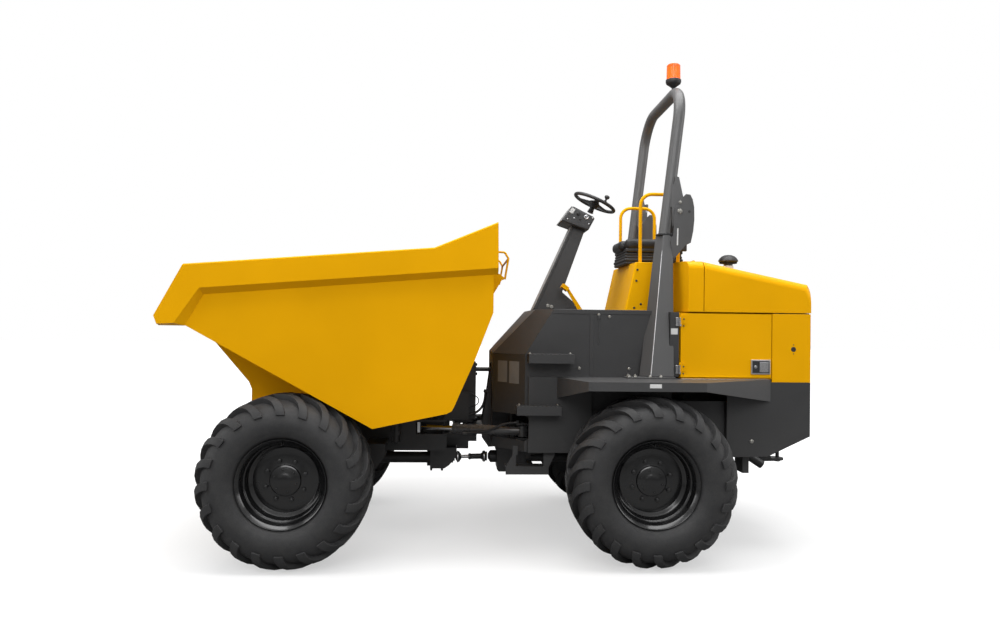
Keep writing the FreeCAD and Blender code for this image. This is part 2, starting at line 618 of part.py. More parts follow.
def mudguard():
    """A flat guard over the rear tyre with angled, deeper ends."""
    skin = 7.0
    front_in = (-382, 700)
    front_out = (-533, FENDER_HALF)
    rear_out = (-1346, FENDER_HALF)
    rear_in = (-1969, BAY_HALF)
    plan = [front_in, front_out, rear_out, rear_in, (-1969, 700), (-1276, 700), (-1276, TUB_HALF),
            (-640, TUB_HALF), (-640, 700)]
    top = prism_z(plan, FENDER_Z - skin, FENDER_Z)
    shapes = [top]

    def skirt(a, b, drop_a, drop_b):
        direction = V(b[0] - a[0], b[1] - a[1], 0).normalize()
        inward = (direction.y * skin, -direction.x * skin, 0)
        outline = [(a[0], a[1], FENDER_Z), (b[0], b[1], FENDER_Z), (b[0], b[1], FENDER_Z - drop_b),
                   (a[0], a[1], FENDER_Z - drop_a)]
        return slab(outline, (-inward[0], -inward[1], 0))

    shapes.append(skirt(front_in, front_out, 153, 62))
    shapes.append(skirt(front_out, rear_out, 62, 62))
    shapes.append(skirt(rear_out, rear_in, 62, 165))
    return union(shapes)


MUDGUARD = mudguard()
save("mudguard_left", MUDGUARD.cut(TUB))
save("mudguard_right", mirrored(MUDGUARD).cut(TUB))


def rear_skirt():
    """The plate tail below the engine bay, chamfered underneath."""
    skin = 12.0
    outline = [(-1640, 696), (-1640, 1252), (-2271, 1252), (-2271, 852), (-1953, 702)]
    shell = prism_y(outline, -BAY_HALF, BAY_HALF)
    inside = [(-1600, 600), (-1600, 1300), (-2241, 1300), (-2241, 866), (-1950, 716), (-1640 + 40, 716)]
    shell = shell.cut(prism_y(inside, -BAY_HALF + skin, BAY_HALF - skin))
    # a short box bracket hangs below the chamfer behind each tyre
    return union([shell] + both_sides(block((-1850, -1800), (470, 640), (560, 708))))


SKIRT = rear_skirt().cut(block((-2200, -1600), (-310, 310), (690, 890)))
SKIRT = SKIRT.cut(MUDGUARD).cut(mirrored(MUDGUARD))
save("rear_skirt", SKIRT)


def engine_bay():
    """The fixed frame of the engine bay: bulkhead, door sills, rear quarters and grille panel."""
    skin = 6.0
    z0, z1 = 1252.0, HOOD_BREAK_Z - 8
    shapes = [block((-1284, -1278), (-700, 700), (1290, 1755))]
    for side in (1, -1):
        y0, y1 = sorted((side * (BAY_HALF - skin), side * BAY_HALF))
        shapes.append(block((-2271, -1979), (y0, y1), (z0 + 30, z1)))
        y0, y1 = sorted((side * 640, side * (BAY_HALF - 10)))
        shapes.append(block((-2271, -1290), (y0, y1), (FENDER_Z + 1, FENDER_Z + 7)))
        shapes.append(block((-2000, -1982), (y0, y1), (1281, z1)))
        y0, y1 = sorted((side * 680, side * 722))
        shapes.append(block((-2271, -1284), (y0, y1), (z1 - 30, z1)))
        y0, y1 = sorted((side * 660, side * 700))
        shapes.append(block((-1330, -1284), (y0, y1), (1281, z1)))
    shapes.append(block((-2271, -2265), (-BAY_HALF, BAY_HALF), (z0 + 0.5, z1)))
    for side in (1, -1):
        y0, y1 = sorted((side * (BAY_HALF - skin), side * BAY_HALF))
        shapes.append(block((-2271, -1979), (y0, y1), (z0 + 0.5, z0 + 40)))
    whole = union(shapes)
    slots = []
    for i in range(9):
        z = 1345 + i * 42
        slots.append(block((-2290, -2250), (-420, 420), (z, z + 22)))
    whole = whole.cut(Part.makeCompound(slots))
    whole = whole.fuse(block((-2268, -2100), (-645, 645), (FENDER_Z + 1, FENDER_Z + 7)))
    filler = rod((-2140, -800, 1500), (-2140, 800, 1500), 14)
    return whole.cut(filler)


save("engine_bay", engine_bay())
save("engine_block", block((-2080, -1440), (-290, 290), (856, 1600)))
save("radiator", block((-2225, -2150), (-460, 460), (1281, 1740)))


def side_door():
    """One flank door, a folded tray on two hinges at its front edge."""
    tray = block((-1973, -1290), (BAY_HALF - 26, BAY_HALF), (1286, 1757))
    tray = tray.cut(block((-1971, -1292), (BAY_HALF - 30, BAY_HALF - 2), (1288, 1755)))
    tray = union([tray, block((-1969, -1294), (BAY_HALF - 6, BAY_HALF - 1), (1290, 1753))])
    latch = block((-1958, -1822), (BAY_HALF, BAY_HALF + 8), (1318, 1414))
    shapes = [tray, latch]
    for z in (1325, 1675):
        shapes.append(rod((DOOR_HINGE_X, DOOR_HINGE_Y, z), (DOOR_HINGE_X, DOOR_HINGE_Y, z + 70), 9))
        shapes.append(block((-1330, DOOR_HINGE_X), (BAY_HALF, BAY_HALF + 6), (z + 5, z + 65)))
    return union(shapes)


DOOR_HINGE_X = -1286.0
DOOR_HINGE_Y = BAY_HALF + 8.0
save("side_door_left", side_door())
save("side_door_right", mirrored(side_door()))


def engine_cover():
    """The engine cover in two parts: the fixed front that carries the seat, and the bonnet behind it.

    The bonnet hangs on knuckles along its front top edge and lifts at the tail.
    """
    skin = 8.0
    low = HOOD_BREAK_Z

    def shell(inset):
        half = BAY_HALF - inset
        side = [(-1289 - inset, low - 100 if inset else low), (-1289 - inset, 2147 - inset),
                (-1454, 2147 - inset), (-2262 + inset, 1984 - inset), (-2274 + inset, 1960 - inset),
                (-2274 + inset, low - 100 if inset else low)]
        plan = [(-1289 - inset, -550), (-1289 - inset, 550), (-1347, half), (-2274 + inset, half),
                (-2274 + inset, -half), (-1347, -half)]
        solid = prism_y(side, -half, half).common(prism_z(plan, low - 120, 2300))
        radius = 62 - inset
        return rounded(solid, radius, lambda a, b: abs(a.y) > half - 1 and abs(b.y) > half - 1
                       and a.y * b.y > 0 and min(a.z, b.z) > 1900)

    cover = shell(0).cut(shell(skin))
    fixed = cover.common(block((BONNET_HINGE[0] + 2.5, -1200), (-800, 800), (1700, 2300)))
    lid = cover.common(block((-2400, BONNET_HINGE[0] - 2.5), (-800, 800), (1700, 2300)))
    px, pz = BONNET_HINGE
    for y in (-480, 320):
        lid = lid.fuse(rod((px, y + 42, pz), (px, y + 118, pz), 12))
        lid = lid.fuse(block((px - 44, px), (y + 42, y + 118), (2134, 2158)))
        for y0 in (y, y + 120):
            fixed = fixed.fuse(rod((px, y0, pz), (px, y0 + 40, pz), 12))
            fixed = fixed.fuse(block((px, px + 30), (y0, y0 + 40), (2142, 2158)))
    pin = rod((px, -500, pz), (px, 500, pz), 6.3)
    lid = lid.cut(pin)
    for y in (-480, 320):
        fixed = fixed.fuse(rod((px, y + 2, pz), (px, y + 158, pz), 6))
    return fixed.removeSplitter(), lid.removeSplitter()


BONNET_HINGE = (-1462.0, 2161.0)
COVER_FRONT, BONNET = engine_cover()
save("cover_front", COVER_FRONT)
save("bonnet", BONNET)


def pre_cleaner():
    """The mushroom-capped air intake that stands on the engine cover."""
    profile = [(0, 0), (48, 0), (48, 34), (38, 38), (38, 112), (44, 116), (44, 126), (70, 122), (78, 130),
               (78, 142), (60, 168), (30, 182), (0, 186)]
    return revolved(profile, (-1830, 200, 2060), "z")


save("pre_cleaner", pre_cleaner().cut(BONNET).common(prism_y(
    [(-1700, 2096), (-1960, 2044), (-1960, 2400), (-1700, 2400)], 0, 400)))


# ---------------------------------------------------------------- operator's station
def seat_plinth():
    """The yellow seat box, leaning at the front with angled corners."""
    side = [(-789, DECK_Z), (-883, 2147), (-1282, 2147), (-1282, DECK_Z)]
    plan = [(-780, -350), (-780, 350), (-1000, 520), (-1282, 520), (-1282, -520), (-1000, -520)]
    shell = prism_y(side, -520, 520).common(prism_z(plan, DECK_Z, 2200))
    inner = prism_y(offset_outline(side, [8, 8, 8, -50]), -512, 512).common(
        prism_z([(-790, -345), (-790, 345), (-1003, 512), (-1290, 512), (-1290, -512), (-1003, -512)],
                DECK_Z - 60, 2139))
    return shell.cut(inner)


save("seat_plinth", seat_plinth())


def seat_bellows():
    """The pleated suspension skirt under the cushion."""
    shapes = []
    for i in range(3):
        z = 2147 + i * 31
        grow = 0 if i % 2 else 14
        shapes.append(block((-1440 - grow, -925 + grow), (-215 - grow, 215 + grow), (z, z + 31)))
    return union(shapes)


save("seat_suspension", seat_bellows())
save("seat_cushion", rounded(block((-1450, -898), (-245, 245), (2240, 2340)), 32,
                             lambda a, b: min(a.z, b.z) > 2339))
back = [(-1385, 2340), (-1500, 2340), (-1540, 2480), (-1536, 2600), (-1480, 2728), (-1440, 2730), (-1420, 2600)]
save("seat_backrest", rounded(prism_y(back, -235, 235), 24, lambda a, b: abs(a.y - b.y) > 300
                              and min(a.z, b.z) > 2700))


def hand_hoop():
    """A yellow tube hoop beside the seat."""
    return bent_bar([(-1078, 430, 2149), (-1078, 430, 2660), (-1385, 430, 2660), (-1385, 430, 2149)], 90, 14)


save("hand_hoop_left", hand_hoop())
save("hand_hoop_right", mirrored(hand_hoop()))


def rops_posts():
    """The folded lower posts that stand on the guards and lean in to the fold plates."""
    solids = []
    foot = [(-1085, 704), (-1272, 704), (-1272, 784), (-1085, 784)]
    head = [(-1150, 528), (-1262, 528), (-1262, 612), (-1150, 612)]
    low = Part.makePolygon([V(x, y, FENDER_Z + 12) for x, y in foot + [foot[0]]])
    high = Part.makePolygon([V(x, y, 2352) for x, y in head + [head[0]]])
    post = Part.makeLoft([low, high], True, True)
    base = block((-1276, -1075), (680, 810), (FENDER_Z, FENDER_Z + 12))
    cheek = [(-1235, 2300), (-1290, 2262), (-1368, 2262), (-1420, 2340), (-1430, 2560), (-1400, 2590),
             (-1296, 2590), (-1270, 2540), (-1262, 2350)]
    shapes = [post, base]
    for y0, y1 in ((500, 512), (626, 638)):
        shapes.append(prism_y(cheek, y0, y1))
    shapes.append(block((-1300, -1240), (500, 638), (2262, 2340)))
    gusset = [(-1255, 2150), (-1255, 2262), (-1368, 2262)]
    shapes.append(prism_y(gusset, 560, 572))
    bolt = rod((FOLD_X, 506, FOLD_Z), (FOLD_X, 646, FOLD_Z), 14)
    whole = union(shapes + [bolt])
    return whole


POST = rops_posts()
save("rops_post_left", POST)
save("rops_post_right", mirrored(POST))


def rops_hoop():
    """The folding upper hoop: one bent tube on two pivot plates."""
    top_z = 3505.0
    lean = 0.117
    foot_x = -1205.0
    foot_z = 2358.0
    head_x = foot_x - lean * (top_z - foot_z)
    path = [(foot_x, HOOP_HALF, foot_z), (head_x, HOOP_HALF, top_z), (head_x, -HOOP_HALF, top_z),
            (foot_x, -HOOP_HALF, foot_z)]
    hoop = bent_bar(path, 260, HOOP_TUBE_R)
    plate = [(-1262, 2400), (-1290, 2486), (-1350, 2500), (-1420, 2520), (-1420, 2565), (-1372, 2640),
             (-1300, 2808), (-1272, 2808), (-1245, 2640)]
    shapes = [hoop]
    for side in (1, -1):
        for a in (518, 612):
            y0, y1 = sorted((side * a, side * (a + 8)))
            shapes.append(prism_y(plate, y0, y1))
        y0, y1 = sorted((side * 518, side * 620))
        shapes.append(block((-1285, -1240), (y0, y1), (2560, 2760)))
    whole = union(shapes)
    for side in (1, -1):
        whole = whole.cut(rod((FOLD_X, side * 490, FOLD_Z), (FOLD_X, side * 660, FOLD_Z), 14.3))
        whole = whole.cut(rod((FOLD_X - 5, side * 490, FOLD_Z + 70), (FOLD_X - 5, side * 660, FOLD_Z + 70), 9))
        whole = whole.cut(rod((FOLD_X - 74, side * 490, FOLD_Z), (FOLD_X - 74, side * 660, FOLD_Z), 9))
    return whole


save("rops_hoop", rops_hoop())


def beacon_base():
    """The dark foot and cone of the warning beacon."""
    profile = [(0, 0), (13, 0), (14, 14), (56, 46), (61, 58), (61, 76), (54, 82), (0, 82)]
    return revolved(profile, (BEACON[0], BEACON[1], BEACON[2]), "z")


def beacon_lens():
    """The amber dome."""
    profile = [(0, 0), (55, 0), (53, 110), (42, 120), (0, 121)]
    return revolved(profile, (BEACON[0], BEACON[1], BEACON[2] + 82), "z")


HOOP_CUT = rops_hoop()
save("beacon_base", beacon_base().cut(HOOP_CUT))
save("beacon_lens", beacon_lens())


def console():
    """The steering pedestal and the instrument box on its top."""
    column = [(-250, DECK_Z), (-567, 2480), (-674, 2442), (-515, 1993), (-492, 1930), (-628, 1815), (-640, DECK_Z)]
    pedestal = prism_y(column, -95, 95)
    dash = [(-469, 2502), (-557, 2626), (-746, 2532), (-690, 2426)]
    box = prism_y(dash, -165, 165)
    return union([pedestal, box])


save("control_console", console())

WHEEL_CENTRE = V(-767, 0, 2679)
WHEEL_AXIS = V(-0.409, 0, 0.912)


def steering_wheel():
    """A three-spoke wheel with a spinner knob."""
    ring = Part.makeTorus(172, 13, WHEEL_CENTRE, WHEEL_AXIS)
    hub = Part.makeCylinder(34, 44, WHEEL_CENTRE - WHEEL_AXIS * 40, WHEEL_AXIS)
    shapes = [ring, hub]
    across = V(0.912, 0, 0.409)
    for turn in (90, 210, 330):
        a = math.radians(turn)
        out = across * math.cos(a) + V(0, 1, 0) * math.sin(a)
        shapes.append(Part.makeCylinder(9, 160, WHEEL_CENTRE - WHEEL_AXIS * 10 + out * 14, out))
    knob_foot = WHEEL_CENTRE + (across * -0.34 + V(0, 0.94, 0)) * 172
    shapes.append(Part.makeCylinder(8, 46, knob_foot, WHEEL_AXIS))
    shapes.append(Part.makeCylinder(20, 30, knob_foot + WHEEL_AXIS * 34, WHEEL_AXIS))
    shapes.append(Part.makeCylinder(13, 50, WHEEL_CENTRE - WHEEL_AXIS * 84, WHEEL_AXIS))
    return union(shapes)


save("steering_wheel", steering_wheel())


def pedals():
    """The hinged foot pedal to the left of the pedestal and its return link."""
    pad = slab([(-478, 190, 1990), (-462, 190, 1962), (-462, 300, 1962), (-478, 300, 1990)], (-44, 0, -34))
    arm = slab([(-490, 236, 1968), (-520, 236, 1958), (-640, 236, DECK_Z), (-600, 236, DECK_Z)], (0, 16, 0))
    return union([pad, arm])


save("pedals", pedals())


def steps():
    """The two folded treads on each flank and the hanging bottom tread."""
    shapes = []
    for x0, x1, top, inner in ((-494, -162, 1445, TUB_HALF), (-403, -78, 1068, TUB_HALF + 40)):
        y1 = 815.0
        tread = block((x0, x1), (inner, y1), (top - 6, top))
        front = block((x0, x1), (y1 - 6, y1), (top - 66, top))
        ends = [block((x, x + 6), (inner, y1), (top - 66, top)) for x in (x0, x1 - 6)]
        shapes.append(union([tread, front] + ends))
    hung = [block((-332, -12), (520, 654), (602, 608)),
            prism_y([(-332, 548), (-12, 548), (-12, 604), (-65, 700), (-88, 700), (-88, 608), (-292, 608),
                     (-292, 700), (-378, 700), (-332, 604)], 648, 654),
            prism_y([(-378, 694), (-292, 694), (-292, 760), (-378, 760)], 648, 654),
            prism_y([(-100, 694), (-62, 694), (-62, 760), (-100, 760)], 648, 654)]
    hung += [block((-230, -190), (306, 654), (594, 602)), block((-230, -190), (306, 312), (594, 770))]
    shapes.append(union(hung))
    return shapes


STEPS = Part.makeCompound(steps())
save("steps_left", STEPS)
save("steps_right", mirrored(STEPS))


def tow_hitch():
    """The tow plate under the tail, its hanging bracket and its drop pin."""
    plate = prism_z([(-2190, -80), (-2190, 80), (-2330, 60), (-2373, 25), (-2373, -25), (-2330, -60)], 556, 578)
    web = [(-2160, 716), (-2170, 556), (-2192, 556), (-2250, 578), (-2190, 716)]
    shapes = [plate, prism_y(web, -80, -68), prism_y(web, 68, 80), block((-2190, -2160), (-80, 80), (556, 730)),
              rod((-2330, 0, 570), (-2330, 0, 632), 15), cone((-2330, 0, 632), (-2330, 0, 640), 15, 9),
              rod((-2330, 0, 544), (-2330, 0, 558), 22)]
    return union(shapes)


save("tow_hitch", tow_hitch())
save("tail_pipe", bent_bar([(-1975, 240, 856), (-1975, 240, 640), (-2105, 240, 556)], 60, 34))

save("joint_hose", hose("joint_hose", JOINT_HOSE, 10))
save("mast_hose", hose("mast_hose", MAST_HOSE, 4))
save("ram_hose", hose("ram_hose", RAM_HOSE, 9))
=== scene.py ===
# %% [markdown]
# # A site dumper, finished over its engineering model
# The rigid machine comes in as a fixed frame: every plate, axle and ram already has its true shape,
# size and joint. This lesson gives that frame its finishes and adds what a drawing leaves out:
# tread bars, wheel nuts, bolts, latches, seat padding, gauges and hoses. Heights in these cells are
# counted in millimetres from the chassis datum, 13 mm above the ground, as on the drawing.

# %% Load the frame
import bpy
import json
import math
from mathutils import Matrix, Vector

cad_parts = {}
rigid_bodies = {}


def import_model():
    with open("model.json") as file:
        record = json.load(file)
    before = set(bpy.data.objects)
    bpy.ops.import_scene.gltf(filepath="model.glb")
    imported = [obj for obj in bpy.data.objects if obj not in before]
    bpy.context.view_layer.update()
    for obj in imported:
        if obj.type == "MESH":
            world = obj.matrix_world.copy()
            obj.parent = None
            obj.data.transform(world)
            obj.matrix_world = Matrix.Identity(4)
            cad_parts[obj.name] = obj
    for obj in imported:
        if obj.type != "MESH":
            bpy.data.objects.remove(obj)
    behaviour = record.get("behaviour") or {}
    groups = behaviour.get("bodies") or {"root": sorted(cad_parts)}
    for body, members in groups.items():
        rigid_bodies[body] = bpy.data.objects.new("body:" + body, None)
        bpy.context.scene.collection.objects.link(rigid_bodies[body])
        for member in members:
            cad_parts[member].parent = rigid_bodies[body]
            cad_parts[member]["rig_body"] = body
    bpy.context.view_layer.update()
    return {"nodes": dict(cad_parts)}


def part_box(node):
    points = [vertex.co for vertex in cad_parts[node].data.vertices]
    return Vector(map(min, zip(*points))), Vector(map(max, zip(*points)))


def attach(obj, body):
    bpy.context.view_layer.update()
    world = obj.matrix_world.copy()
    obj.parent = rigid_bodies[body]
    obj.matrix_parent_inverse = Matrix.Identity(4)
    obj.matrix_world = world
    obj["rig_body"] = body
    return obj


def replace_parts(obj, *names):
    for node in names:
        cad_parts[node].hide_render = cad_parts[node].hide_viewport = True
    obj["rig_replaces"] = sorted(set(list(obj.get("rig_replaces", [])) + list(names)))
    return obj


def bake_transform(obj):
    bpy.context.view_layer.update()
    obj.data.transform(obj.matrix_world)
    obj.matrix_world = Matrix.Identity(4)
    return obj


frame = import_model()
DATUM = 13.0


def at(x, y, z):
    """A drawing position in millimetres, as a point of the scene in metres."""
    return Vector((x, y, z + DATUM)) / 1000.0


# %% [markdown]
# ## Camera
# The camera stands at the operator's left, at a person's eye height and about six and a half metres
# off, turned three degrees and rolled a little. Building its matrix from its own three directions
# keeps the roll exact, which Euler angles make hard to read.

# %% Place the camera
SENSOR_WIDTH = 36.0
FOCAL_IN_WIDTHS = 0.7993
yaw, pitch, roll = 0.0548, -0.0141, -0.0123
ahead = Vector((-math.sin(yaw) * math.cos(pitch), -math.cos(yaw) * math.cos(pitch), -math.sin(pitch)))
across = Vector((-math.cos(yaw), math.sin(yaw), 0.0))
upward = across.cross(ahead)
screen_x = across * math.cos(roll) - upward * math.sin(roll)
screen_y = across * math.sin(roll) + upward * math.cos(roll)
lens = bpy.data.cameras.new("camera")
lens.sensor_width = SENSOR_WIDTH
lens.lens = SENSOR_WIDTH * FOCAL_IN_WIDTHS
lens.clip_end = 200.0
camera = bpy.data.objects.new("camera", lens)
bpy.context.scene.collection.objects.link(camera)
camera.matrix_world = Matrix.Translation((0.3686, 6.5705, 1.6573)) @ Matrix(
    (screen_x, screen_y, -ahead)).transposed().to_4x4()
bpy.context.scene.camera = camera
print("lens", round(lens.lens, 2), "mm")

# %% [markdown]
# ## Floor and light
# The floor is a mid grey to the light that it throws back under the machine, and near white to the
# camera, paler still away from the machine, so the ground keeps a soft shadow and has no edge. A wide
# overhead panel gives the falloff on the plates, one at the camera's side lights what faces it, and one
# at each end draws pale lines along the rounded rims. The world is white to the camera; to everything
# else it is a dome that is dim at the horizon and brighter overhead.

# %% Lay the floor
def deselect():
    bpy.ops.object.select_all(action="DESELECT")


def feed(tree, value, socket):
    """Link a socket to another, or write a plain number or colour into it."""
    if isinstance(value, bpy.types.NodeSocket):
        tree.links.new(value, socket)
    else:
        socket.default_value = value


def add_node(tree, kind, inputs=None, **settings):
    """A new shader node with its settings made and its inputs fed."""
    node = tree.nodes.new(f"ShaderNode{kind}")
    for setting, value in settings.items():
        setattr(node, setting, value)
    for label, value in (inputs or {}).items():
        feed(tree, value, node.inputs[label])
    return node


def shader_tree(name, inputs):
    """A fresh material: itself, its node tree and its Principled shader with some inputs fed."""
    material = bpy.data.materials.new(name)
    material.use_nodes = True
    tree = material.node_tree
    shader = tree.nodes["Principled BSDF"]
    for label, value in inputs.items():
        feed(tree, value, shader.inputs[label])
    return material, tree, shader


deselect()
bpy.ops.mesh.primitive_plane_add(size=120.0, location=(0.0, 0.0, 0.0))
floor = bpy.context.active_object
floor.name = "floor"
floor_white, tree, shader = shader_tree("floor_white", {
    "Base Color": (0.22, 0.22, 0.22, 1.0), "Roughness": 1.0, "Specular IOR Level": 0.0})
pale = add_node(tree, "BsdfDiffuse", {"Color": (0.42, 0.42, 0.42, 1.0)})
reach = add_node(tree, "VectorMath", {0: add_node(tree, "TexCoord").outputs["Object"]}, operation="LENGTH")
fade = add_node(tree, "MapRange", {"Value": reach.outputs["Value"], "From Min": 2.2, "From Max": 6.0,
                                   "To Min": 0.52, "To Max": 1.0})
glow = add_node(tree, "Emission", {"Strength": fade.outputs[0]})
both = add_node(tree, "AddShader", {0: pale.outputs[0], 1: glow.outputs[0]})
choose = add_node(tree, "MixShader", {0: add_node(tree, "LightPath").outputs["Is Camera Ray"],
                                      1: shader.outputs[0], 2: both.outputs[0]})
tree.links.new(choose.outputs[0], tree.nodes["Material Output"].inputs["Surface"])
floor.data.materials.append(floor_white)
print("floor", floor.dimensions[:2])

# %% Hang the lights
for name, place, aim, width, height, power in (
        ("top_panel", (0.0, 1.0, 7.5), (0.0, 0.0, 1.0), 9.0, 5.0, 620.0),
        ("near_panel", (1.2, 9.0, 6.2), (0.0, 0.0, 1.2), 8.0, 4.0, 370.0),
        ("nose_panel", (8.0, 2.0, 3.5), (0.5, 0.0, 1.2), 4.0, 4.0, 130.0),
        ("tail_panel", (-8.0, 2.0, 3.5), (-0.5, 0.0, 1.2), 4.0, 4.0, 130.0)):
    lamp = bpy.data.lights.new(name, "AREA")
    lamp.shape = "RECTANGLE"
    lamp.size, lamp.size_y, lamp.energy = width, height, power
    holder = bpy.data.objects.new(name, lamp)
    bpy.context.scene.collection.objects.link(holder)
    facing = (Vector(aim) - Vector(place)).to_track_quat("-Z", "Y").to_matrix().to_4x4()
    holder.matrix_world = Matrix.Translation(place) @ facing

world = bpy.data.worlds.new("studio")
bpy.context.scene.world = world
world.use_nodes = True
sky = world.node_tree
rays = add_node(sky, "LightPath").outputs
seen = add_node(sky, "Math", {0: rays["Is Camera Ray"], 1: rays["Is Transmission Ray"]}, operation="MAXIMUM")
height = add_node(sky, "SeparateXYZ", {0: add_node(sky, "TexCoord").outputs["Generated"]})
dome = add_node(sky, "MapRange", {"Value": height.outputs["Z"], "From Min": 0.0, "From Max": 0.8,
                                  "To Min": 0.30, "To Max": 0.72})
level = add_node(sky, "MapRange", {"Value": seen.outputs[0], "To Min": dome.outputs[0], "To Max": 1.0})
backdrop = sky.nodes["Background"]
feed(sky, level.outputs[0], backdrop.inputs["Strength"])
feed(sky, (1.0, 1.0, 1.0, 1.0), backdrop.inputs["Color"])
bpy.context.scene.view_settings.view_transform = "Standard"

# %% [markdown]
# ## Finishes
# Nearly everything on this machine is sprayed steel, and sprayed steel is never one flat colour: the
# film has a faint orange peel, the tone drifts from panel to panel, and dust settles low down and on
# ledges. One node group makes those three effects from the piece's own coordinates, and each paint
# gives it a different colour and strength. A group can be tuned once for the whole machine.

# %% The paint film group
def noise(tree, coords, scale, detail=4.0, rough=0.55):
    return add_node(tree, "TexNoise", {"Vector": coords, "Scale": scale, "Detail": detail,
                                       "Roughness": rough}).outputs["Fac"]


def remap(tree, value, low, high, to_low=0.0, to_high=1.0):
    """Map Range; any limit may be a number or a socket."""
    return add_node(tree, "MapRange", {"Value": value, "From Min": low, "From Max": high, "To Min": to_low,
                                       "To Max": to_high}).outputs["Result"]


def arith(tree, operation, a, b):
    return add_node(tree, "Math", {0: a, 1: b}, operation=operation).outputs[0]


def scaled(tree, color, factor):
    return add_node(tree, "VectorMath", {0: color, "Scale": factor}, operation="SCALE").outputs[0]


def mixed(tree, factor, a, b):
    """Mix two colours; a node of this kind has hidden sockets with the same names."""
    node = add_node(tree, "Mix", data_type="RGBA", blend_type="MIX")
    for label, value in (("Factor", factor), ("A", a), ("B", b)):
        feed(tree, value, next(s for s in node.inputs if s.name == label and s.enabled))
    return next(s for s in node.outputs if s.enabled)


film = bpy.data.node_groups.new("paint_film", "ShaderNodeTree")
for label, kind, default in (
        ("Color", "Color", (0.5, 0.5, 0.5, 1.0)), ("Dust Color", "Color", (0.35, 0.31, 0.26, 1.0)),
        ("Dust", "Float", 0.3), ("Dust Top", "Float", 1.2), ("Gloss", "Float", 0.35), ("Peel", "Float", 1.0)):
    socket = film.interface.new_socket(name=label, in_out="INPUT", socket_type=f"NodeSocket{kind}")
    socket.default_value = default
for label, kind in (("Color", "Color"), ("Roughness", "Float"), ("Height", "Float")):
    film.interface.new_socket(name=label, in_out="OUTPUT", socket_type=f"NodeSocket{kind}")
given = film.nodes.new("NodeGroupInput").outputs
result = film.nodes.new("NodeGroupOutput").inputs

coords = add_node(film, "TexCoord").outputs["Object"]
place = add_node(film, "SeparateXYZ", {0: coords})
facing = add_node(film, "SeparateXYZ", {0: add_node(film, "NewGeometry").outputs["Normal"]})
low_down = remap(film, place.outputs["Z"], 0.25, given["Dust Top"], 1.0, 0.0)
ledges = remap(film, facing.outputs["Z"], 0.35, 1.0, 0.0, 0.5)
patches = remap(film, noise(film, coords, 3.1), 0.35, 0.7)
specks = remap(film, noise(film, coords, 55.0, 6.0, 0.7), 0.45, 0.75)
settled = arith(film, "MULTIPLY", arith(film, "ADD", low_down, ledges), arith(film, "ADD", patches, 0.25))
settled = arith(film, "MULTIPLY", settled, arith(film, "ADD", specks, 0.6))
dust = add_node(film, "Clamp", {0: arith(film, "MULTIPLY", settled, given["Dust"])}).outputs[0]
drift = remap(film, noise(film, coords, 1.3, 2.0), 0.3, 0.7, 0.94, 1.05)
toned = scaled(film, given["Color"], drift)
feed(film, mixed(film, dust, toned, given["Dust Color"]), result["Color"])
smear = remap(film, noise(film, coords, 9.0, 5.0), 0.3, 0.7, -0.05, 0.07)
feed(film, arith(film, "ADD", arith(film, "ADD", given["Gloss"], smear), arith(film, "MULTIPLY", dust, 0.45)),
     result["Roughness"])
feed(film, arith(film, "MULTIPLY", noise(film, coords, 420.0, 2.0), given["Peel"]), result["Height"])
print("group", film.name, [s.name for s in film.interface.items_tree])

# %% Sprayed finishes
def relief(tree, shader, height, strength, distance):
    """Let a height tilt the surface normal."""
    bump = add_node(tree, "Bump", {"Strength": strength, "Distance": distance, "Height": height})
    tree.links.new(bump.outputs["Normal"], shader.inputs["Normal"])


def sprayed(name, color, gloss, dust, dust_top, bump, peel=1.0, coat=0.0, metallic=0.0, dust_color=None,
            tint=(1.0, 1.0, 1.0), shine=0.5):
    """A material whose colour, roughness and bump come from the paint film group."""
    material, tree, shader = shader_tree(name, {
        "Metallic": metallic, "Coat Weight": coat, "Coat Roughness": 0.12, "Specular IOR Level": shine,
        "Specular Tint": (*tint, 1.0)})
    group = add_node(tree, "Group", node_tree=film)
    for label, value in (("Color", (*color, 1.0)), ("Gloss", gloss), ("Dust", dust), ("Dust Top", dust_top),
                         ("Peel", peel)):
        group.inputs[label].default_value = value
    if dust_color:
        group.inputs["Dust Color"].default_value = (*dust_color, 1.0)
    tree.links.new(group.outputs["Color"], shader.inputs["Base Color"])
    tree.links.new(group.outputs["Roughness"], shader.inputs["Roughness"])
    relief(tree, shader, group.outputs["Height"], bump, 0.0006)
    return material


warm = {"tint": (1.0, 0.60, 0.03), "dust_color": (0.52, 0.33, 0.10)}
road_dust = {"dust_color": (0.12, 0.115, 0.105)}
yellow_paint = sprayed("yellow_paint", (0.80, 0.385, 0.003), 0.34, 0.06, 1.0, 0.25, shine=0.32, **warm)
# A lighter, nearly shineless copy of the yellow for the seat box; its extra lightness is painted light on the
# box's leaning faces.
box_yellow_painted_light = sprayed("box_yellow_painted_light", (0.84, 0.42, 0.004), 0.50, 0.05, 1.0, 0.0, shine=0.06, **warm)
grey_paint = sprayed("grey_paint", (0.034, 0.034, 0.035), 0.44, 0.14, 1.1, 0.35, **road_dust)
# A lighter copy of the body grey for the mudguards; its extra lightness is painted light, standing in for the
# light on their tops.
guard_paint_painted_light = sprayed("guard_paint_painted_light", (0.052, 0.052, 0.053), 0.42, 0.16, 1.1, 0.35,
                      dust_color=(0.14, 0.135, 0.125))
post_paint = sprayed("post_paint", (0.072, 0.072, 0.073), 0.38, 0.10, 1.0, 0.35)
hoop_paint = sprayed("hoop_paint", (0.095, 0.095, 0.096), 0.38, 0.10, 1.0, 0.35)
chassis_black = sprayed("chassis_black", (0.020, 0.020, 0.021), 0.40, 0.14, 0.9, 0.3,
                        dust_color=(0.10, 0.097, 0.09))
rim_black = sprayed("rim_black", (0.0035, 0.0035, 0.004), 0.22, 0.03, 0.5, 0.12, coat=0.5,
                    dust_color=(0.05, 0.048, 0.045))
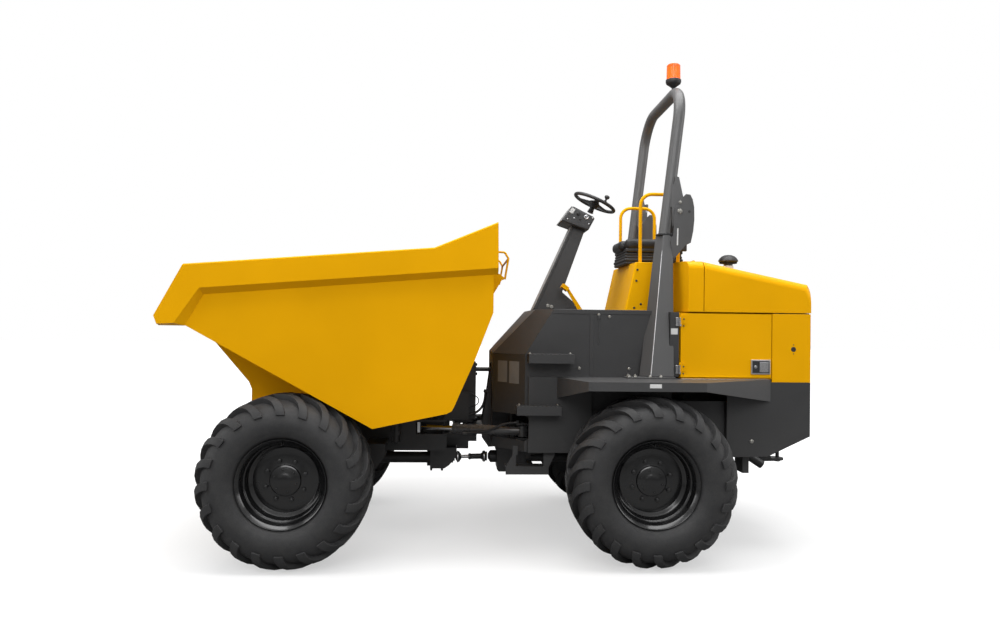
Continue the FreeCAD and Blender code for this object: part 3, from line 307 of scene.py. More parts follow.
engine_iron = sprayed("engine_iron", (0.035, 0.035, 0.036), 0.6, 0.25, 1.4, 0.7, peel=6.0)
radiator_metal = sprayed("radiator_metal", (0.16, 0.16, 0.165), 0.45, 0.2, 1.6, 0.6, peel=2.0, metallic=0.8)
ram_paint = sprayed("ram_paint", (0.050, 0.050, 0.051), 0.26, 0.10, 0.9, 0.2, coat=0.4, **road_dust)
print("paints", [m.name for m in bpy.data.materials])

# %% [markdown]
# ## Bare metal, rubber and plastic
# Ground rods carry fine rings round their length and a mirror polish; the drive shaft's rings are only
# turned. Rubber is dull with a dusty bloom in random patches. Moulded plastic has a tight
# leather-like grain. Each is a plain Principled shader fed by noise at its own scale.

# %% Metal and moulded finishes
def surfaced(name, shade, rough, spread, scale, bump, distance=0.0004, metallic=0.0, stretch=(1, 1, 1),
             bloom=None):
    """A finish whose tone, roughness and relief come from one noise at a stated scale."""
    material, tree, shader = shader_tree(name, {"Metallic": metallic})
    coords = add_node(tree, "TexCoord").outputs["Object"]
    mapping = add_node(tree, "Mapping", {"Scale": stretch, "Vector": coords})
    grain = noise(tree, mapping.outputs["Vector"], scale, 5.0, 0.6)
    color = scaled(tree, shade, remap(tree, noise(tree, coords, 6.0, 4.0), 0.3, 0.7, 0.85, 1.15))
    if bloom:
        mask = arith(tree, "MULTIPLY", remap(tree, noise(tree, coords, 14.0, 6.0, 0.7), 0.42, 0.72), 0.25)
        color = mixed(tree, mask, color, (*bloom, 1.0))
    tree.links.new(color, shader.inputs["Base Color"])
    tree.links.new(remap(tree, grain, 0.3, 0.7, rough - spread, rough + spread), shader.inputs["Roughness"])
    relief(tree, shader, grain, bump, distance)
    return material


polished_rod = surfaced("polished_rod", (0.62, 0.62, 0.63), 0.14, 0.05, 60.0, 0.05, metallic=1.0,
                        stretch=(4, 1, 1))
zinc_plate = surfaced("zinc_plate", (0.42, 0.41, 0.38), 0.34, 0.1, 120.0, 0.2, metallic=1.0)
black_rubber = surfaced("black_rubber", (0.022, 0.022, 0.023), 0.66, 0.12, 180.0, 0.3,
                        bloom=(0.06, 0.058, 0.055))
seat_vinyl = surfaced("seat_vinyl", (0.010, 0.010, 0.011), 0.50, 0.08, 520.0, 0.45, distance=0.0006)
black_plastic = surfaced("black_plastic", (0.020, 0.020, 0.021), 0.46, 0.08, 900.0, 0.5)
bellows_rubber = surfaced("bellows_rubber", (0.019, 0.019, 0.020), 0.55, 0.1, 300.0, 0.35)
blank_label = surfaced("blank_label", (0.62, 0.62, 0.61), 0.5, 0.06, 200.0, 0.1)
satin_alloy = surfaced("satin_alloy", (0.55, 0.55, 0.56), 0.3, 0.08, 150.0, 0.15, metallic=1.0,
                       stretch=(1, 1, 8))
# A lighter grey for the pedestal's forward faces; it paints in the light that falls on them.
painted_light_grey = surfaced("painted_light_grey", (0.26, 0.26, 0.26), 0.45, 0.08, 160.0, 0.2)
grey_label = surfaced("grey_label", (0.15, 0.15, 0.15), 0.5, 0.06, 200.0, 0.1)
print("finishes", len(bpy.data.materials))

# %% [markdown]
# ## The amber lens
# A beacon's dome is clear moulded plastic, so its colour comes from the light that passes through it.
# Transmission with a saturated base colour does that, and a weak amber emission adds a painted glow.
# A low roughness keeps its highlights small, and fine upright ribs inside the moulding are a wave
# across it that only moves the surface normal and the roughness.

# %% Amber lens
# The weak amber emission is a painted glow that brightens the dome.
amber_lens, tree, shader = shader_tree("amber_lens", {
    "Base Color": (1.0, 0.20, 0.012, 1.0), "Transmission Weight": 0.55, "IOR": 1.46,
    "Emission Color": (1.0, 0.16, 0.01, 1.0), "Emission Strength": 0.22})
ribs = add_node(tree, "TexWave", {"Vector": add_node(tree, "TexCoord").outputs["Object"], "Scale": 32.0,
                                  "Distortion": 0.0}, wave_type="BANDS", bands_direction="X").outputs["Fac"]
relief(tree, shader, ribs, 0.5, 0.002)
tree.links.new(remap(tree, ribs, 0.0, 1.0, 0.12, 0.22), shader.inputs["Roughness"])
print("lens", amber_lens.name)

# %% Give every frame node its finish
finish_of = {
    yellow_paint: "skip_body skip_rim skip_lugs skip_handle bonnet cover_front side_door_left "
                  "side_door_right engine_bay seat_plinth hand_hoop_left hand_hoop_right pedals",
    grey_paint: "platform_tub mudguard_left mudguard_right rear_skirt steps_left steps_right control_console",
    hoop_paint: "rops_hoop rops_post_left rops_post_right",
    chassis_black: "front_frame rear_frame front_axle rear_axle front_driveline gearbox prop_shaft tow_hitch "
                   "tail_pipe tip_ram_barrel_left tip_ram_barrel_right steer_ram_barrel_left "
                   "steer_ram_barrel_right",
    rim_black: "front_wheel_left front_wheel_right rear_wheel_left rear_wheel_right",
    polished_rod: "tip_ram_rod_left tip_ram_rod_right steer_ram_rod_left steer_ram_rod_right",
    engine_iron: "engine_block",
    radiator_metal: "radiator",
    black_plastic: "pre_cleaner beacon_base steering_wheel",
    black_rubber: "front_tyre_left front_tyre_right rear_tyre_left rear_tyre_right",
    bellows_rubber: "seat_suspension joint_hose mast_hose ram_hose",
    seat_vinyl: "seat_cushion seat_backrest",
    amber_lens: "beacon_lens",
}
for finish, names in finish_of.items():
    for name in names.split():
        node = frame["nodes"][name]
        node.data.materials.clear()
        node.data.materials.append(finish)
print("finished nodes", sum(len(names.split()) for names in finish_of.values()), "of", len(frame["nodes"]))

# %% [markdown]
# ## Hoses round the steering joint
# Three hydraulic hoses run by the joint. Each is a smooth NURBS line through the route's points, which
# are the same as the drawing's, swept by a round bevel. The two that cross the joint become meshes and
# are left without a body, and their centre lines are read back from the same curve.

# %% Sweep the hoses
def only(piece):
    """Select one piece alone and make it the active one."""
    deselect()
    piece.select_set(True)
    bpy.context.view_layer.objects.active = piece


def line_through(name, kind, places):
    """A curve object with one open spline, its data and the spline itself."""
    curve = bpy.data.curves.new(name, "CURVE")
    curve.dimensions = "3D"
    spline = curve.splines.new(kind)
    spline.points.add(len(places) - 1)
    for point, place in zip(spline.points, places):
        point.co = (*place, 1.0)
    holder = bpy.data.objects.new(name, curve)
    bpy.context.scene.collection.objects.link(holder)
    return holder, curve, spline


def hose_curve(name, route, radius):
    """A hose swept along a smooth line, and the points of that line."""
    holder, curve, spline = line_through(name, "NURBS", [at(*place) for place in route])
    spline.order_u = 3
    spline.use_endpoint_u = True
    curve.resolution_u = 14
    line = bpy.data.meshes.new_from_object(holder)
    path = [v.co.copy() for v in line.vertices]
    curve.bevel_resolution = 5
    curve.bevel_depth = radius
    curve.use_fill_caps = True
    curve.materials.append(bellows_rubber)
    return holder, path


joint_route = [(125, 112, 1108), (126.5, 112, 1070), (134, 112, 1030), (150, 112, 992), (176, 112, 962),
               (210, 112, 940), (255, 112, 928)]
mast_route = [(222, 106, 1090), (200, 106, 1080), (181, 106, 1060), (176, 106, 1034), (190, 106, 1010),
              (214, 106, 999), (250, 106, 992)]
ram_route = [(-84, 490, 912), (-42, 484, 909), (2, 472, 896), (47, 459, 874), (96, 446, 852), (150, 431, 835),
             (210, 414, 823), (274, 395.5, 818)]
for name, route, radius, bodies in (
        ("joint_hose", joint_route, 0.010, ("rear_chassis", "front_chassis")),
        ("ram_hose", ram_route, 0.009, ("rear_chassis", "steer_barrel_left")),
        ("mast_hose", mast_route, 0.004, ("front_chassis",))):
    hose, path = hose_curve(f"{name}_skin", route, radius)
    if len(bodies) == 2:
        only(hose)
        bpy.ops.object.convert(target="MESH")
        bpy.ops.object.shade_smooth_by_angle(angle=math.radians(50.0))
        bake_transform(hose)
    else:
        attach(hose, bodies[0])
    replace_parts(hose, name)

# %% [markdown]
# ## Tyres
# A site tyre is a fat casing with heavy curved bars that lean forward to the crown. The casing is one
# outline walked out vertex by vertex and spun round the axle. A bar is a strip of quads: an edge is
# extruded across the crown, and each step is turned about the axle, so the strip hugs the wheel. It
# gets thickness and soft edges from modifiers, then a spin with copies sets twenty round each side.

# %% A lathe for outlines
def into_edit(piece):
    only(piece)
    bpy.ops.object.mode_set(mode="EDIT")
    bpy.ops.mesh.select_all(action="SELECT")


def out_of_edit():
    bpy.ops.object.mode_set(mode="OBJECT")


def one_vertex(name, place):
    """A new piece that holds a single selected vertex, left in edit mode."""
    deselect()
    bpy.ops.mesh.primitive_plane_add(size=0.001, location=place)
    piece = bpy.context.active_object
    piece.name = name
    bpy.ops.object.transform_apply(location=True, rotation=True, scale=True)
    into_edit(piece)
    bpy.ops.mesh.merge(type="CENTER")
    return piece


def walk(name, outline):
    """A chain of vertices along an outline, left in edit mode with all of it selected."""
    piece = one_vertex(name, outline[0])
    for here, there in zip(outline, outline[1:]):
        bpy.ops.mesh.extrude_vertices_move(TRANSFORM_OT_translate={"value": Vector(there) - Vector(here)})
    bpy.ops.mesh.select_all(action="SELECT")
    return piece


def lathe(name, outline, centre, axis, turns, smooth):
    """Walk an outline out by extruding, then spin it round an axis into a closed solid."""
    piece = walk(name, outline)
    bpy.ops.mesh.spin(steps=turns, angle=math.tau, center=centre, axis=axis)
    bpy.ops.mesh.select_all(action="SELECT")
    bpy.ops.mesh.remove_doubles(threshold=0.00001)
    bpy.ops.mesh.normals_make_consistent(inside=False)
    out_of_edit()
    bpy.ops.object.shade_smooth_by_angle(angle=math.radians(smooth))
    return piece


def turned(name, foot, steps, axis=(0.0, 1.0, 0.0), out=(1.0, 0.0, 0.0), turns=24, smooth=30.0):
    """A small turned part on a foot point: steps of (radius, height) in millimetres."""
    axis, out = Vector(axis), Vector(out)
    return lathe(name, [foot + (out * r + axis * h) / 1000.0 for r, h in steps], foot, axis, turns, smooth)


def apply_all(piece):
    only(piece)
    for modifier in list(piece.modifiers):
        bpy.ops.object.modifier_apply(modifier=modifier.name)


def weighted(piece):
    """Smooth shading that leaves the large flat faces flat."""
    bpy.ops.object.shade_smooth_by_angle(angle=math.radians(32.0))
    evened = piece.modifiers.new("evened", "WEIGHTED_NORMAL")
    evened.keep_sharp = True
    apply_all(piece)
    return piece


def bevelled(piece, width, segments=2, angle=30.0, **settings):
    """Soft edges: a Bevel modifier, applied, and smooth shading between the sharp turns."""
    bevel = piece.modifiers.new("edge", "BEVEL")
    bevel.width = width
    bevel.segments = segments
    bevel.limit_method = "ANGLE"
    bevel.angle_limit = math.radians(angle)
    for setting, value in settings.items():
        setattr(bevel, setting, value)
    apply_all(piece)
    return weighted(piece)


def joined(name, pieces):
    deselect()
    for piece in pieces:
        piece.select_set(True)
    bpy.context.view_layer.objects.active = pieces[0]
    if len(pieces) > 1:
        bpy.ops.object.join()
    pieces[0].name = name
    return pieces[0]


def copy_of(piece, name, move=(0.0, 0.0, 0.0), turn=None):
    """A copy with its own mesh, turned and moved, its place kept in the mesh."""
    twin = piece.copy()
    twin.data = piece.data.copy()
    twin.name = name
    if "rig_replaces" in twin:
        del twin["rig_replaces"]
    bpy.context.scene.collection.objects.link(twin)
    placed = Matrix.Translation(move)
    twin.data.transform(placed @ turn.to_4x4() if turn else placed)
    return twin


def finish_piece(piece, material=None, body="rear_chassis"):
    """Material and body of a finished piece; a copy keeps its own material."""
    if material is not None:
        piece.data.materials.clear()
        piece.data.materials.append(material)
    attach(piece, body)
    return piece


print("helpers ready")

# %% The casing
tyre_low, tyre_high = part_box("front_tyre_left")
hub = (tyre_low + tyre_high) / 2
TYRE_R = (tyre_high.z - tyre_low.z) / 2
half_casing = [(y, TYRE_R - drop) for y, drop in (
    (0.000, 0.036), (0.110, 0.041), (0.165, 0.054), (0.200, 0.074), (0.226, 0.104), (0.239, 0.136),
    (0.246, 0.170), (0.246, 0.200), (0.240, 0.228))]
half_casing += [(0.232, 0.340), (0.226, 0.333), (0.223, 0.324), (0.210, 0.314), (0.198, 0.307),
                (0.186, 0.296)]
casing_outline = [(hub.x, hub.y + y, hub.z + r) for y, r in half_casing]
casing_outline += [(hub.x, hub.y - y, hub.z + r) for y, r in reversed(half_casing[1:])]
casing_outline.append(casing_outline[0])
casing = lathe("casing", casing_outline, hub, (0, 1, 0), 96, 50.0)
print("casing", len(casing.data.polygons), "faces")

# %% One tread bar, and a ring of them on each side
BARS = 20
BAR_WIDTH = 0.060
BAR_DEPTH = 0.046
CLEARANCE = 0.0007


def tread_bar(side):
    """A curved bar from just past the crown, over the shoulder, on to the sidewall."""
    steps = [(-0.018, 0.000, 25.5), (0.030, 0.000, 21.0), (0.080, 0.000, 16.0), (0.128, 0.004, 11.2),
             (0.172, 0.018, 7.0), (0.206, 0.040, 3.8), (0.229, 0.066, 1.8), (0.243, 0.093, 0.6),
             (0.250, 0.124, 0.0)]
    y, drop, turn = steps[0]
    bar = one_vertex("bar", (hub.x - BAR_WIDTH / 2, hub.y + side * y, hub.z + TYRE_R - CLEARANCE - drop))
    bpy.ops.mesh.extrude_vertices_move(TRANSFORM_OT_translate={"value": (BAR_WIDTH, 0.0, 0.0)})
    bpy.ops.mesh.select_all(action="SELECT")
    bpy.ops.transform.rotate(value=math.radians(-turn), orient_axis="Y", center_override=hub)
    for now, after in zip(steps, steps[1:]):
        out = Vector((math.sin(math.radians(now[2])), 0.0, math.cos(math.radians(now[2]))))
        move = out * (now[1] - after[1]) + Vector((0.0, side * (after[0] - now[0]), 0.0))
        bpy.ops.mesh.extrude_region_move(TRANSFORM_OT_translate={"value": move})
        bpy.ops.transform.rotate(value=math.radians(now[2] - after[2]), orient_axis="Y", center_override=hub)
    bpy.ops.mesh.select_all(action="SELECT")
    bpy.ops.mesh.normals_make_consistent(inside=False)
    out_of_edit()
    if sum(p.normal.dot(p.center - hub) for p in bar.data.polygons) < 0:
        into_edit(bar)
        bpy.ops.mesh.flip_normals()
        out_of_edit()
    thick = bar.modifiers.new("thick", "SOLIDIFY")
    thick.thickness = BAR_DEPTH
    thick.offset = -1.0
    apply_all(bar)
    return bevelled(bar, 0.005, 2, 40.0)


rings = []
for side in (1, -1):
    bar = tread_bar(side)
    into_edit(bar)
    if side < 0:
        bpy.ops.transform.rotate(value=math.radians(180.0 / BARS), orient_axis="Y", center_override=hub)
    bpy.ops.mesh.spin(steps=BARS - 1, angle=math.tau * (BARS - 1) / BARS, center=hub, axis=(0.0, 1.0, 0.0),
                      dupli=True)
    out_of_edit()
    rings.append(bar)
tread = joined("front_tread_left", [casing] + rings)
finish_piece(tread, black_rubber, "front_wheel_left_body")
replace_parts(tread, "front_tyre_left")
for end, side in (("front", "right"), ("rear", "left"), ("rear", "right")):
    low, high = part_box(f"{end}_tyre_{side}")
    twin = copy_of(tread, f"{end}_tread_{side}", (low + high) / 2 - hub)
    finish_piece(twin, body=f"{end}_wheel_{side}_body")
    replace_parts(twin, f"{end}_tyre_{side}")
print("tread", sum(len(p.vertices) - 2 for p in tread.data.polygons), "triangles a tyre")

# %% [markdown]
# ## Wheels
# A dumper's rim is pressed and rolled: a lip at each edge, a stepped seat for the tyre, and a dished
# disc welded in. One outline spun round the axle gives all of it, smooth across the rolled curves and
# crisp at the steps. Hex nuts on washers, stud ends, a valve stem and the hub's cap are set on top.

# %% The rolled rim
rim_half = [(0.075, 0.0), (0.075, 0.030), (0.071, 0.047), (0.066, 0.060), (0.065, 0.094), (0.060, 0.104),
            (0.044, 0.108), (0.041, 0.118), (0.040, 0.172), (0.038, 0.196), (0.034, 0.222), (0.040, 0.231),
            (0.047, 0.239), (0.052, 0.247), (0.064, 0.2505), (0.112, 0.252), (0.121, 0.258), (0.126, 0.2655),
            (0.150, 0.2685), (0.158, 0.274), (0.186, 0.2765), (0.195, 0.284), (0.203, 0.293), (0.208, 0.2975),
            (0.2098, 0.3005), (0.2075, 0.3028), (0.201, 0.3022), (0.196, 0.297), (0.190, 0.2845),
            (0.140, 0.2785), (0.118, 0.257), (-0.118, 0.257), (-0.140, 0.2785), (-0.190, 0.2845),
            (-0.196, 0.297), (-0.201, 0.3022), (-0.2075, 0.3028), (-0.2098, 0.3005), (-0.203, 0.293),
            (-0.186, 0.2765), (-0.150, 0.2685), (-0.121, 0.258), (-0.112, 0.247), (0.008, 0.247),
            (0.016, 0.236), (0.016, 0.200), (0.014, 0.124), (-0.070, 0.120), (-0.070, 0.0706),
            (0.030, 0.0706), (0.030, 0.0)]
rim_low, rim_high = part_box("front_wheel_left")
axle_end = (rim_low + rim_high) / 2
rim = lathe("rim", [(axle_end.x, axle_end.y + y, axle_end.z + r) for y, r in rim_half], axle_end, (0, 1, 0),
            72, 28.0)
print("rim", len(rim.data.polygons), "faces")

# %% Nuts, studs and the valve
def round_bar(name, start, end, radius, sides=16):
    """A capped cylinder between two points, its place kept in the mesh."""
    start, end = Vector(start), Vector(end)
    deselect()
    bpy.ops.mesh.primitive_cone_add(vertices=sides, radius1=radius, radius2=radius,
                                    depth=(end - start).length, location=(start + end) / 2,
                                    rotation=(end - start).to_track_quat("Z", "Y").to_euler())
    piece = bpy.context.active_object
    piece.name = name
    bpy.ops.object.transform_apply(location=True, rotation=True, scale=True)
    bpy.ops.object.shade_smooth_by_angle(angle=math.radians(40.0))
    return piece


def plate_box(name, low, high, edge=0.0, segments=2):
    """A box between two drawing corners, with a soft edge if one is asked for."""
    low, high = at(*low), at(*high)
    deselect()
    bpy.ops.mesh.primitive_cube_add(size=1.0, location=(low + high) / 2, scale=high - low)
    piece = bpy.context.active_object
    piece.name = name
    bpy.ops.object.transform_apply(location=True, rotation=True, scale=True)
    return bevelled(piece, edge, segments) if edge else piece


def hex_bolt(across, height, washer, stud=0.0):
    """A bevelled hex head on a washer, standing along +Z at the origin, with a stud end if asked."""
    head = round_bar("hex", (0, 0, 0.002), (0, 0, 0.002 + height), across * 0.577, 6)
    disc = round_bar("washer", (0, 0, 0), (0, 0, 0.0035), washer, 20)
    parts = [bevelled(head, 0.0015, 2, 25.0), bevelled(disc, 0.0008, 1, 25.0)]
    if stud:
        thread = round_bar("stud", (0, 0, height), (0, 0, height + stud), across * 0.29, 14)
        parts.append(bevelled(thread, 0.0014, 2, 25.0))
    return joined("bolt", parts)


def boxes(name, rows):
    """Plates between drawing corners, each row (low, high, edge, segments), joined into one piece."""
    return joined(name, [plate_box(name, *row) for row in rows])


def scatter(name, pattern, places):
    """Copies of a small piece, each stood on a point along a direction, joined into one."""
    copies = []
    for point, facing in places:
        turn = Vector(facing).to_track_quat("Z", "Y").to_matrix()
        copies.append(copy_of(pattern, name, point, turn))
    bpy.data.objects.remove(pattern, do_unlink=True)
    return joined(name, copies)


NUT_CIRCLE, CAP_CIRCLE = 0.139, 0.078


def on_wheel(x, y, z):
    """A point in metres from the middle of the front left wheel."""
    return axle_end + Vector((x, y, z))


nut_places = [(on_wheel(-NUT_CIRCLE * math.sin(a), 0.040, NUT_CIRCLE * math.cos(a)), (0, 1, 0))
              for a in (math.radians(-18.0 + 45.0 * number) for number in range(8))]
nuts = scatter("nuts", hex_bolt(0.027, 0.016, 0.0185, 0.007), nut_places)
finish_piece(nuts, rim_black, "front_wheel_left_body")
cap_places = [(on_wheel(CAP_CIRCLE * math.cos(a), 0.0645, CAP_CIRCLE * math.sin(a)), (0, 1, 0))
              for a in (math.tau * number / 6 + 0.3 for number in range(6))]
cap = scatter("hub_bolts", hex_bolt(0.012, 0.005, 0.008), cap_places)
valve = joined("valve", [
    round_bar("stem", on_wheel(0.004, 0.128, 0.262), on_wheel(0.004, 0.168, 0.256), 0.0045, 12),
    round_bar("stem_foot", on_wheel(0.004, 0.126, 0.266), on_wheel(0.004, 0.140, 0.261), 0.009, 14)])
rim = joined("front_rim_left", [rim, cap, valve])
finish_piece(rim, rim_black, "front_wheel_left_body")
nuts.name = "front_nuts_left"
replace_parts(rim, "front_wheel_left")
for end, side in (("front", "right"), ("rear", "left"), ("rear", "right")):
    low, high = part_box(f"{end}_wheel_{side}")
    there = (low + high) / 2
    half_turn = Matrix.Rotation(math.pi, 3, "Z") if side == "right" else None
    for piece, label in ((rim, "rim"), (nuts, "nuts")):
        move = there - (half_turn @ axle_end if half_turn else axle_end)
        twin = copy_of(piece, f"{end}_{label}_{side}", move, half_turn)
        finish_piece(twin, body=f"{end}_wheel_{side}_body")
        if label == "rim":
            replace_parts(twin, f"{end}_wheel_{side}")

# %% [markdown]
# ## Folded plate with soft edges
# Sheet steel is never razor sharp: a fold has a radius and a cut edge is broken before paint. A frame
# node comes as loose triangles, so a copy is merged, its flat faces are joined again, and a small
# bevel catches the light along every edge. The copy takes the node's place on the same body.

# %% Soft-edged copies of the frame's plates
def refined(node_name, material, width, segments):
    """A merged and bevelled copy of a frame node, which stands in for it."""
    node = frame["nodes"][node_name]
    piece = node.copy()
    piece.data = node.data.copy()
    piece.name = f"{node_name}_finished"
    for key in [k for k in piece.keys() if k.startswith("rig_")]:
        del piece[key]
    bpy.context.scene.collection.objects.link(piece)
    into_edit(piece)
    bpy.ops.mesh.remove_doubles(threshold=0.00002)
    bpy.ops.mesh.dissolve_limited(angle_limit=math.radians(0.6))
    out_of_edit()
    bevelled(piece, width, segments, 28.0, miter_outer="MITER_ARC")
    finish_piece(piece, material, node["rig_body"])
    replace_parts(piece, node_name)
    return piece


finished = {}
for material, width, segments, names in (
        (yellow_paint, 0.013, 4, "skip_rim"),
        (yellow_paint, 0.005, 3, "skip_body bonnet cover_front"),
        (yellow_paint, 0.0025, 2, "skip_lugs side_door_left side_door_right engine_bay pedals"),
        (grey_paint, 0.004, 3, "platform_tub rear_skirt"),
        (guard_paint_painted_light, 0.008, 4, "mudguard_left mudguard_right"),
        (grey_paint, 0.0015, 2, "steps_left steps_right"),
        (chassis_black, 0.0035, 2, "front_frame rear_frame front_axle rear_axle"),
        (chassis_black, 0.0025, 2, "front_driveline gearbox tow_hitch"),
        (ram_paint, 0.0025, 2, "steer_ram_barrel_left steer_ram_barrel_right tip_ram_barrel_left "
                               "tip_ram_barrel_right")):
    for name in names.split():
        finished[name] = refined(name, material, width, segments)
print("soft-edged plates", len(finished))

# %% [markdown]
# ## The hipped nose of the tub
# The frame's tub ends in one sloping face between two upright corners. The real one is hipped: above
# the first fold each corner leans back and inwards as well. The copy is cut along the slope and the
# two leaning planes, and three plates close the cuts.

# %% Hip the nose
first_fold, top_fold = 1436, 1777
NOSE_PLATE = 6.0
slope = [(80, 360, first_fold), (-235, 500, top_fold), (-235, -500, top_fold), (80, -360, first_fold)]
hips = [[(-147, side * 660, first_fold), (-356, side * 660, top_fold), (-235, side * 500, top_fold),
         (80, side * 360, first_fold)] for side in (1, -1)]
tub = finished["platform_tub"]
nose_plates = []
for outline in [slope] + hips:
    places = [at(*corner) for corner in outline]
    facing = (places[1] - places[0]).cross(places[2] - places[1]).normalized()
    facing *= math.copysign(1.0, facing.x)
    into_edit(tub)
    bpy.ops.mesh.bisect(plane_co=places[0] - facing * 0.001, plane_no=facing, clear_outer=True)
    out_of_edit()
    nose_plates.append((places, facing * -NOSE_PLATE))
print("nose cut, tub faces", len(tub.data.polygons))

# %% [markdown]
# ## Plates, pads and small parts
# Sheet parts start as an outline: a chain of vertices closed into one face, pushed out to its
# thickness and given a small bevel. Padding starts as a rounded block, is remeshed evenly and then
# blown up by the cloth solver from inside, so its sides swell between the seams as stuffed vinyl does.

# %% Plates and stuffing
def prism(name, outline, sweep, edge=0.0, segments=2):
    """A flat outline, filled and pushed out along a direction, with soft edges if asked."""
    piece = walk(name, outline)
    bpy.ops.mesh.edge_face_add()
    bpy.ops.mesh.select_all(action="SELECT")
    bpy.ops.mesh.extrude_region_move(TRANSFORM_OT_translate={"value": Vector(sweep) / 1000.0})
    bpy.ops.mesh.select_all(action="SELECT")
    bpy.ops.mesh.normals_make_consistent(inside=False)
    out_of_edit()
    return bevelled(piece, edge, segments) if edge else piece


nose = joined("tub_nose", [prism("plate", places, inward, 0.0012) for places, inward in nose_plates])
finish_piece(nose, grey_paint)


def side_prism(name, outline, y0, y1, edge=0.0, segments=2):
    """An outline of (x, z) in the side view, between two widths."""
    return prism(name, [at(x, y0, z) for x, z in outline], (0.0, y1 - y0, 0.0), edge, segments)


VOXEL, PRESSURE, STEPS = 0.006, 4.0, 20


def inflate(piece, cap):
    """Even out the mesh, let air pressure swell it, cap the swelling and smooth the cover."""
    only(piece)
    piece.data.remesh_voxel_size = VOXEL
    bpy.ops.object.voxel_remesh()
    before = [v.co.copy() for v in piece.data.vertices]
    cloth = piece.modifiers.new("stuffing", "CLOTH")
    cloth.settings.use_pressure = True
    cloth.settings.uniform_pressure_force = PRESSURE
    cloth.settings.effector_weights.gravity = 0.0
    cloth.point_cache.frame_start = 1
    cloth.point_cache.frame_end = STEPS
    for step in range(1, STEPS + 1):
        bpy.context.scene.frame_set(step)
    bpy.ops.object.modifier_apply(modifier=cloth.name)
    for vertex, start in zip(piece.data.vertices, before):
        shift = vertex.co - start
        if shift.length > cap:
            vertex.co = start + shift.normalized() * cap
    bpy.context.scene.frame_set(1)
    smooth = piece.modifiers.new("cover", "SUBSURF")
    smooth.levels = 1
    apply_all(piece)
    bpy.ops.object.shade_smooth()
    return piece


def bolts_at(name, places, facing, across=0.018, height=0.007, washer=0.012, stud=0.0):
    """Hex bolts on washers at drawing positions, all facing one way."""
    return scatter(name, hex_bolt(across, height, washer, stud), [(at(*p), facing) for p in places])


print("plates ready")

# %% The seat
pads = []
for name, low, high, edge in (
        ("pad_mid", (-1436, -150, 2284), (-1010, 150, 2354), 0.020),
        ("pad_nose", (-1050, -158, 2268), (-944, 158, 2352), 0.036),
        ("bolster_near", (-1436, 150, 2276), (-984, 232, 2362), 0.032),
        ("bolster_far", (-1436, -232, 2276), (-984, -150, 2362), 0.032)):
    pads.append(inflate(plate_box(name, low, high, edge, 4), 0.014))
cushion = joined("seat_pad", pads)
finish_piece(cushion, seat_vinyl)
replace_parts(cushion, "seat_cushion")
shell = plate_box("seat_pan", (-1446, -226, 2254), (-984, 226, 2286), 0.010, 3)
finish_piece(shell, black_plastic)


def back_x(z):
    """Where the foam starts at a height."""
    return -1400 - 0.19 * (z - 2352) if z < 2480 else -1424 - 0.13 * (z - 2480)


pads = []
for z0, z1 in ((2352, 2450), (2450, 2548), (2548, 2636), (2636, 2708)):
    line = [(back_x(z0) - 4, z0), (back_x(z0) - 58, z0), (back_x(z1) - 58, z1), (back_x(z1) - 4, z1)]
    pads.append(inflate(side_prism("pad", line, -142, 142, 0.020, 3), 0.012))
line = [(-1396, 2352), (-1462, 2352), (-1492, 2480), (-1500, 2600), (-1474, 2700), (-1448, 2700),
        (-1424, 2600), (-1410, 2470)]
for y0, y1 in ((140, 222), (-222, -140)):
    pads.append(inflate(side_prism("bolster", line, y0, y1, 0.022, 3), 0.012))
backrest = joined("seat_back_pad", pads)
finish_piece(backrest, seat_vinyl)
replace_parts(backrest, "seat_backrest")
shell_line = [(-1450, 2344), (-1494, 2344), (-1532, 2480), (-1530, 2600), (-1484, 2716), (-1470, 2716),
              (-1512, 2598), (-1510, 2484)]
back_shell = side_prism("seat_back_shell", shell_line, -226, 226, 0.006)
finish_piece(back_shell, black_plastic)

folds = []
for number, swell in enumerate((10.0, 14.0, 8.0, 4.0)):
    z = 2154.0 + number * 24.0
    folds.append(((-1440 - swell, -215 - swell, z), (-988 + swell, 212 + swell, z + 27.0), 0.012, 4))
bellows = boxes("seat_bellows", folds)
finish_piece(bellows, bellows_rubber)
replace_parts(bellows, "seat_suspension")
# buckle, two anchors and the reel
belts = boxes("seat_belt_parts", [((-1448, -262, 2262), (-1372, -247, 2300), 0.004),
                                  ((-1440, 247, 2240), (-1404, 253, 2290), 0.002, 1),
                                  ((-1440, -253, 2240), (-1404, -247, 2290), 0.002, 1),
                                  ((-1470, 247, 2262), (-1388, 275, 2330), 0.010, 3)])
finish_piece(belts, black_plastic)
print("seat faces", len(cushion.data.polygons), len(backrest.data.polygons))

# %% [markdown]
# ## Seat box, rails and roll frame
# The seat stands on a box whose front leans back. Bent steel tube makes the hand rails and the roll
# hoop: straight runs joined by arcs of one bend radius, which a poly line follows exactly, swept round.
# Each post tapers from foot to head, so its top ring of corners is moved on to an outline of its own.

# %% Seat box, hand rails and roll frame
def mirror_of(piece, name):
    """The same piece on the other side of the machine, with its faces outwards again."""
    twin = copy_of(piece, name, turn=Matrix.Scale(-1.0, 3, (0.0, 1.0, 0.0)))
    into_edit(twin)
    bpy.ops.mesh.normals_make_consistent(inside=False)
    out_of_edit()
    return twin


def both_sides(piece, name, material, body="rear_chassis", far_body=None):
    """Finish a near-side piece and its mirrored twin on the far side, and give back the twin."""
    piece.name = f"{name}_left"
    finish_piece(piece, material, body)
    return finish_piece(mirror_of(piece, f"{name}_right"), body=far_body or body)


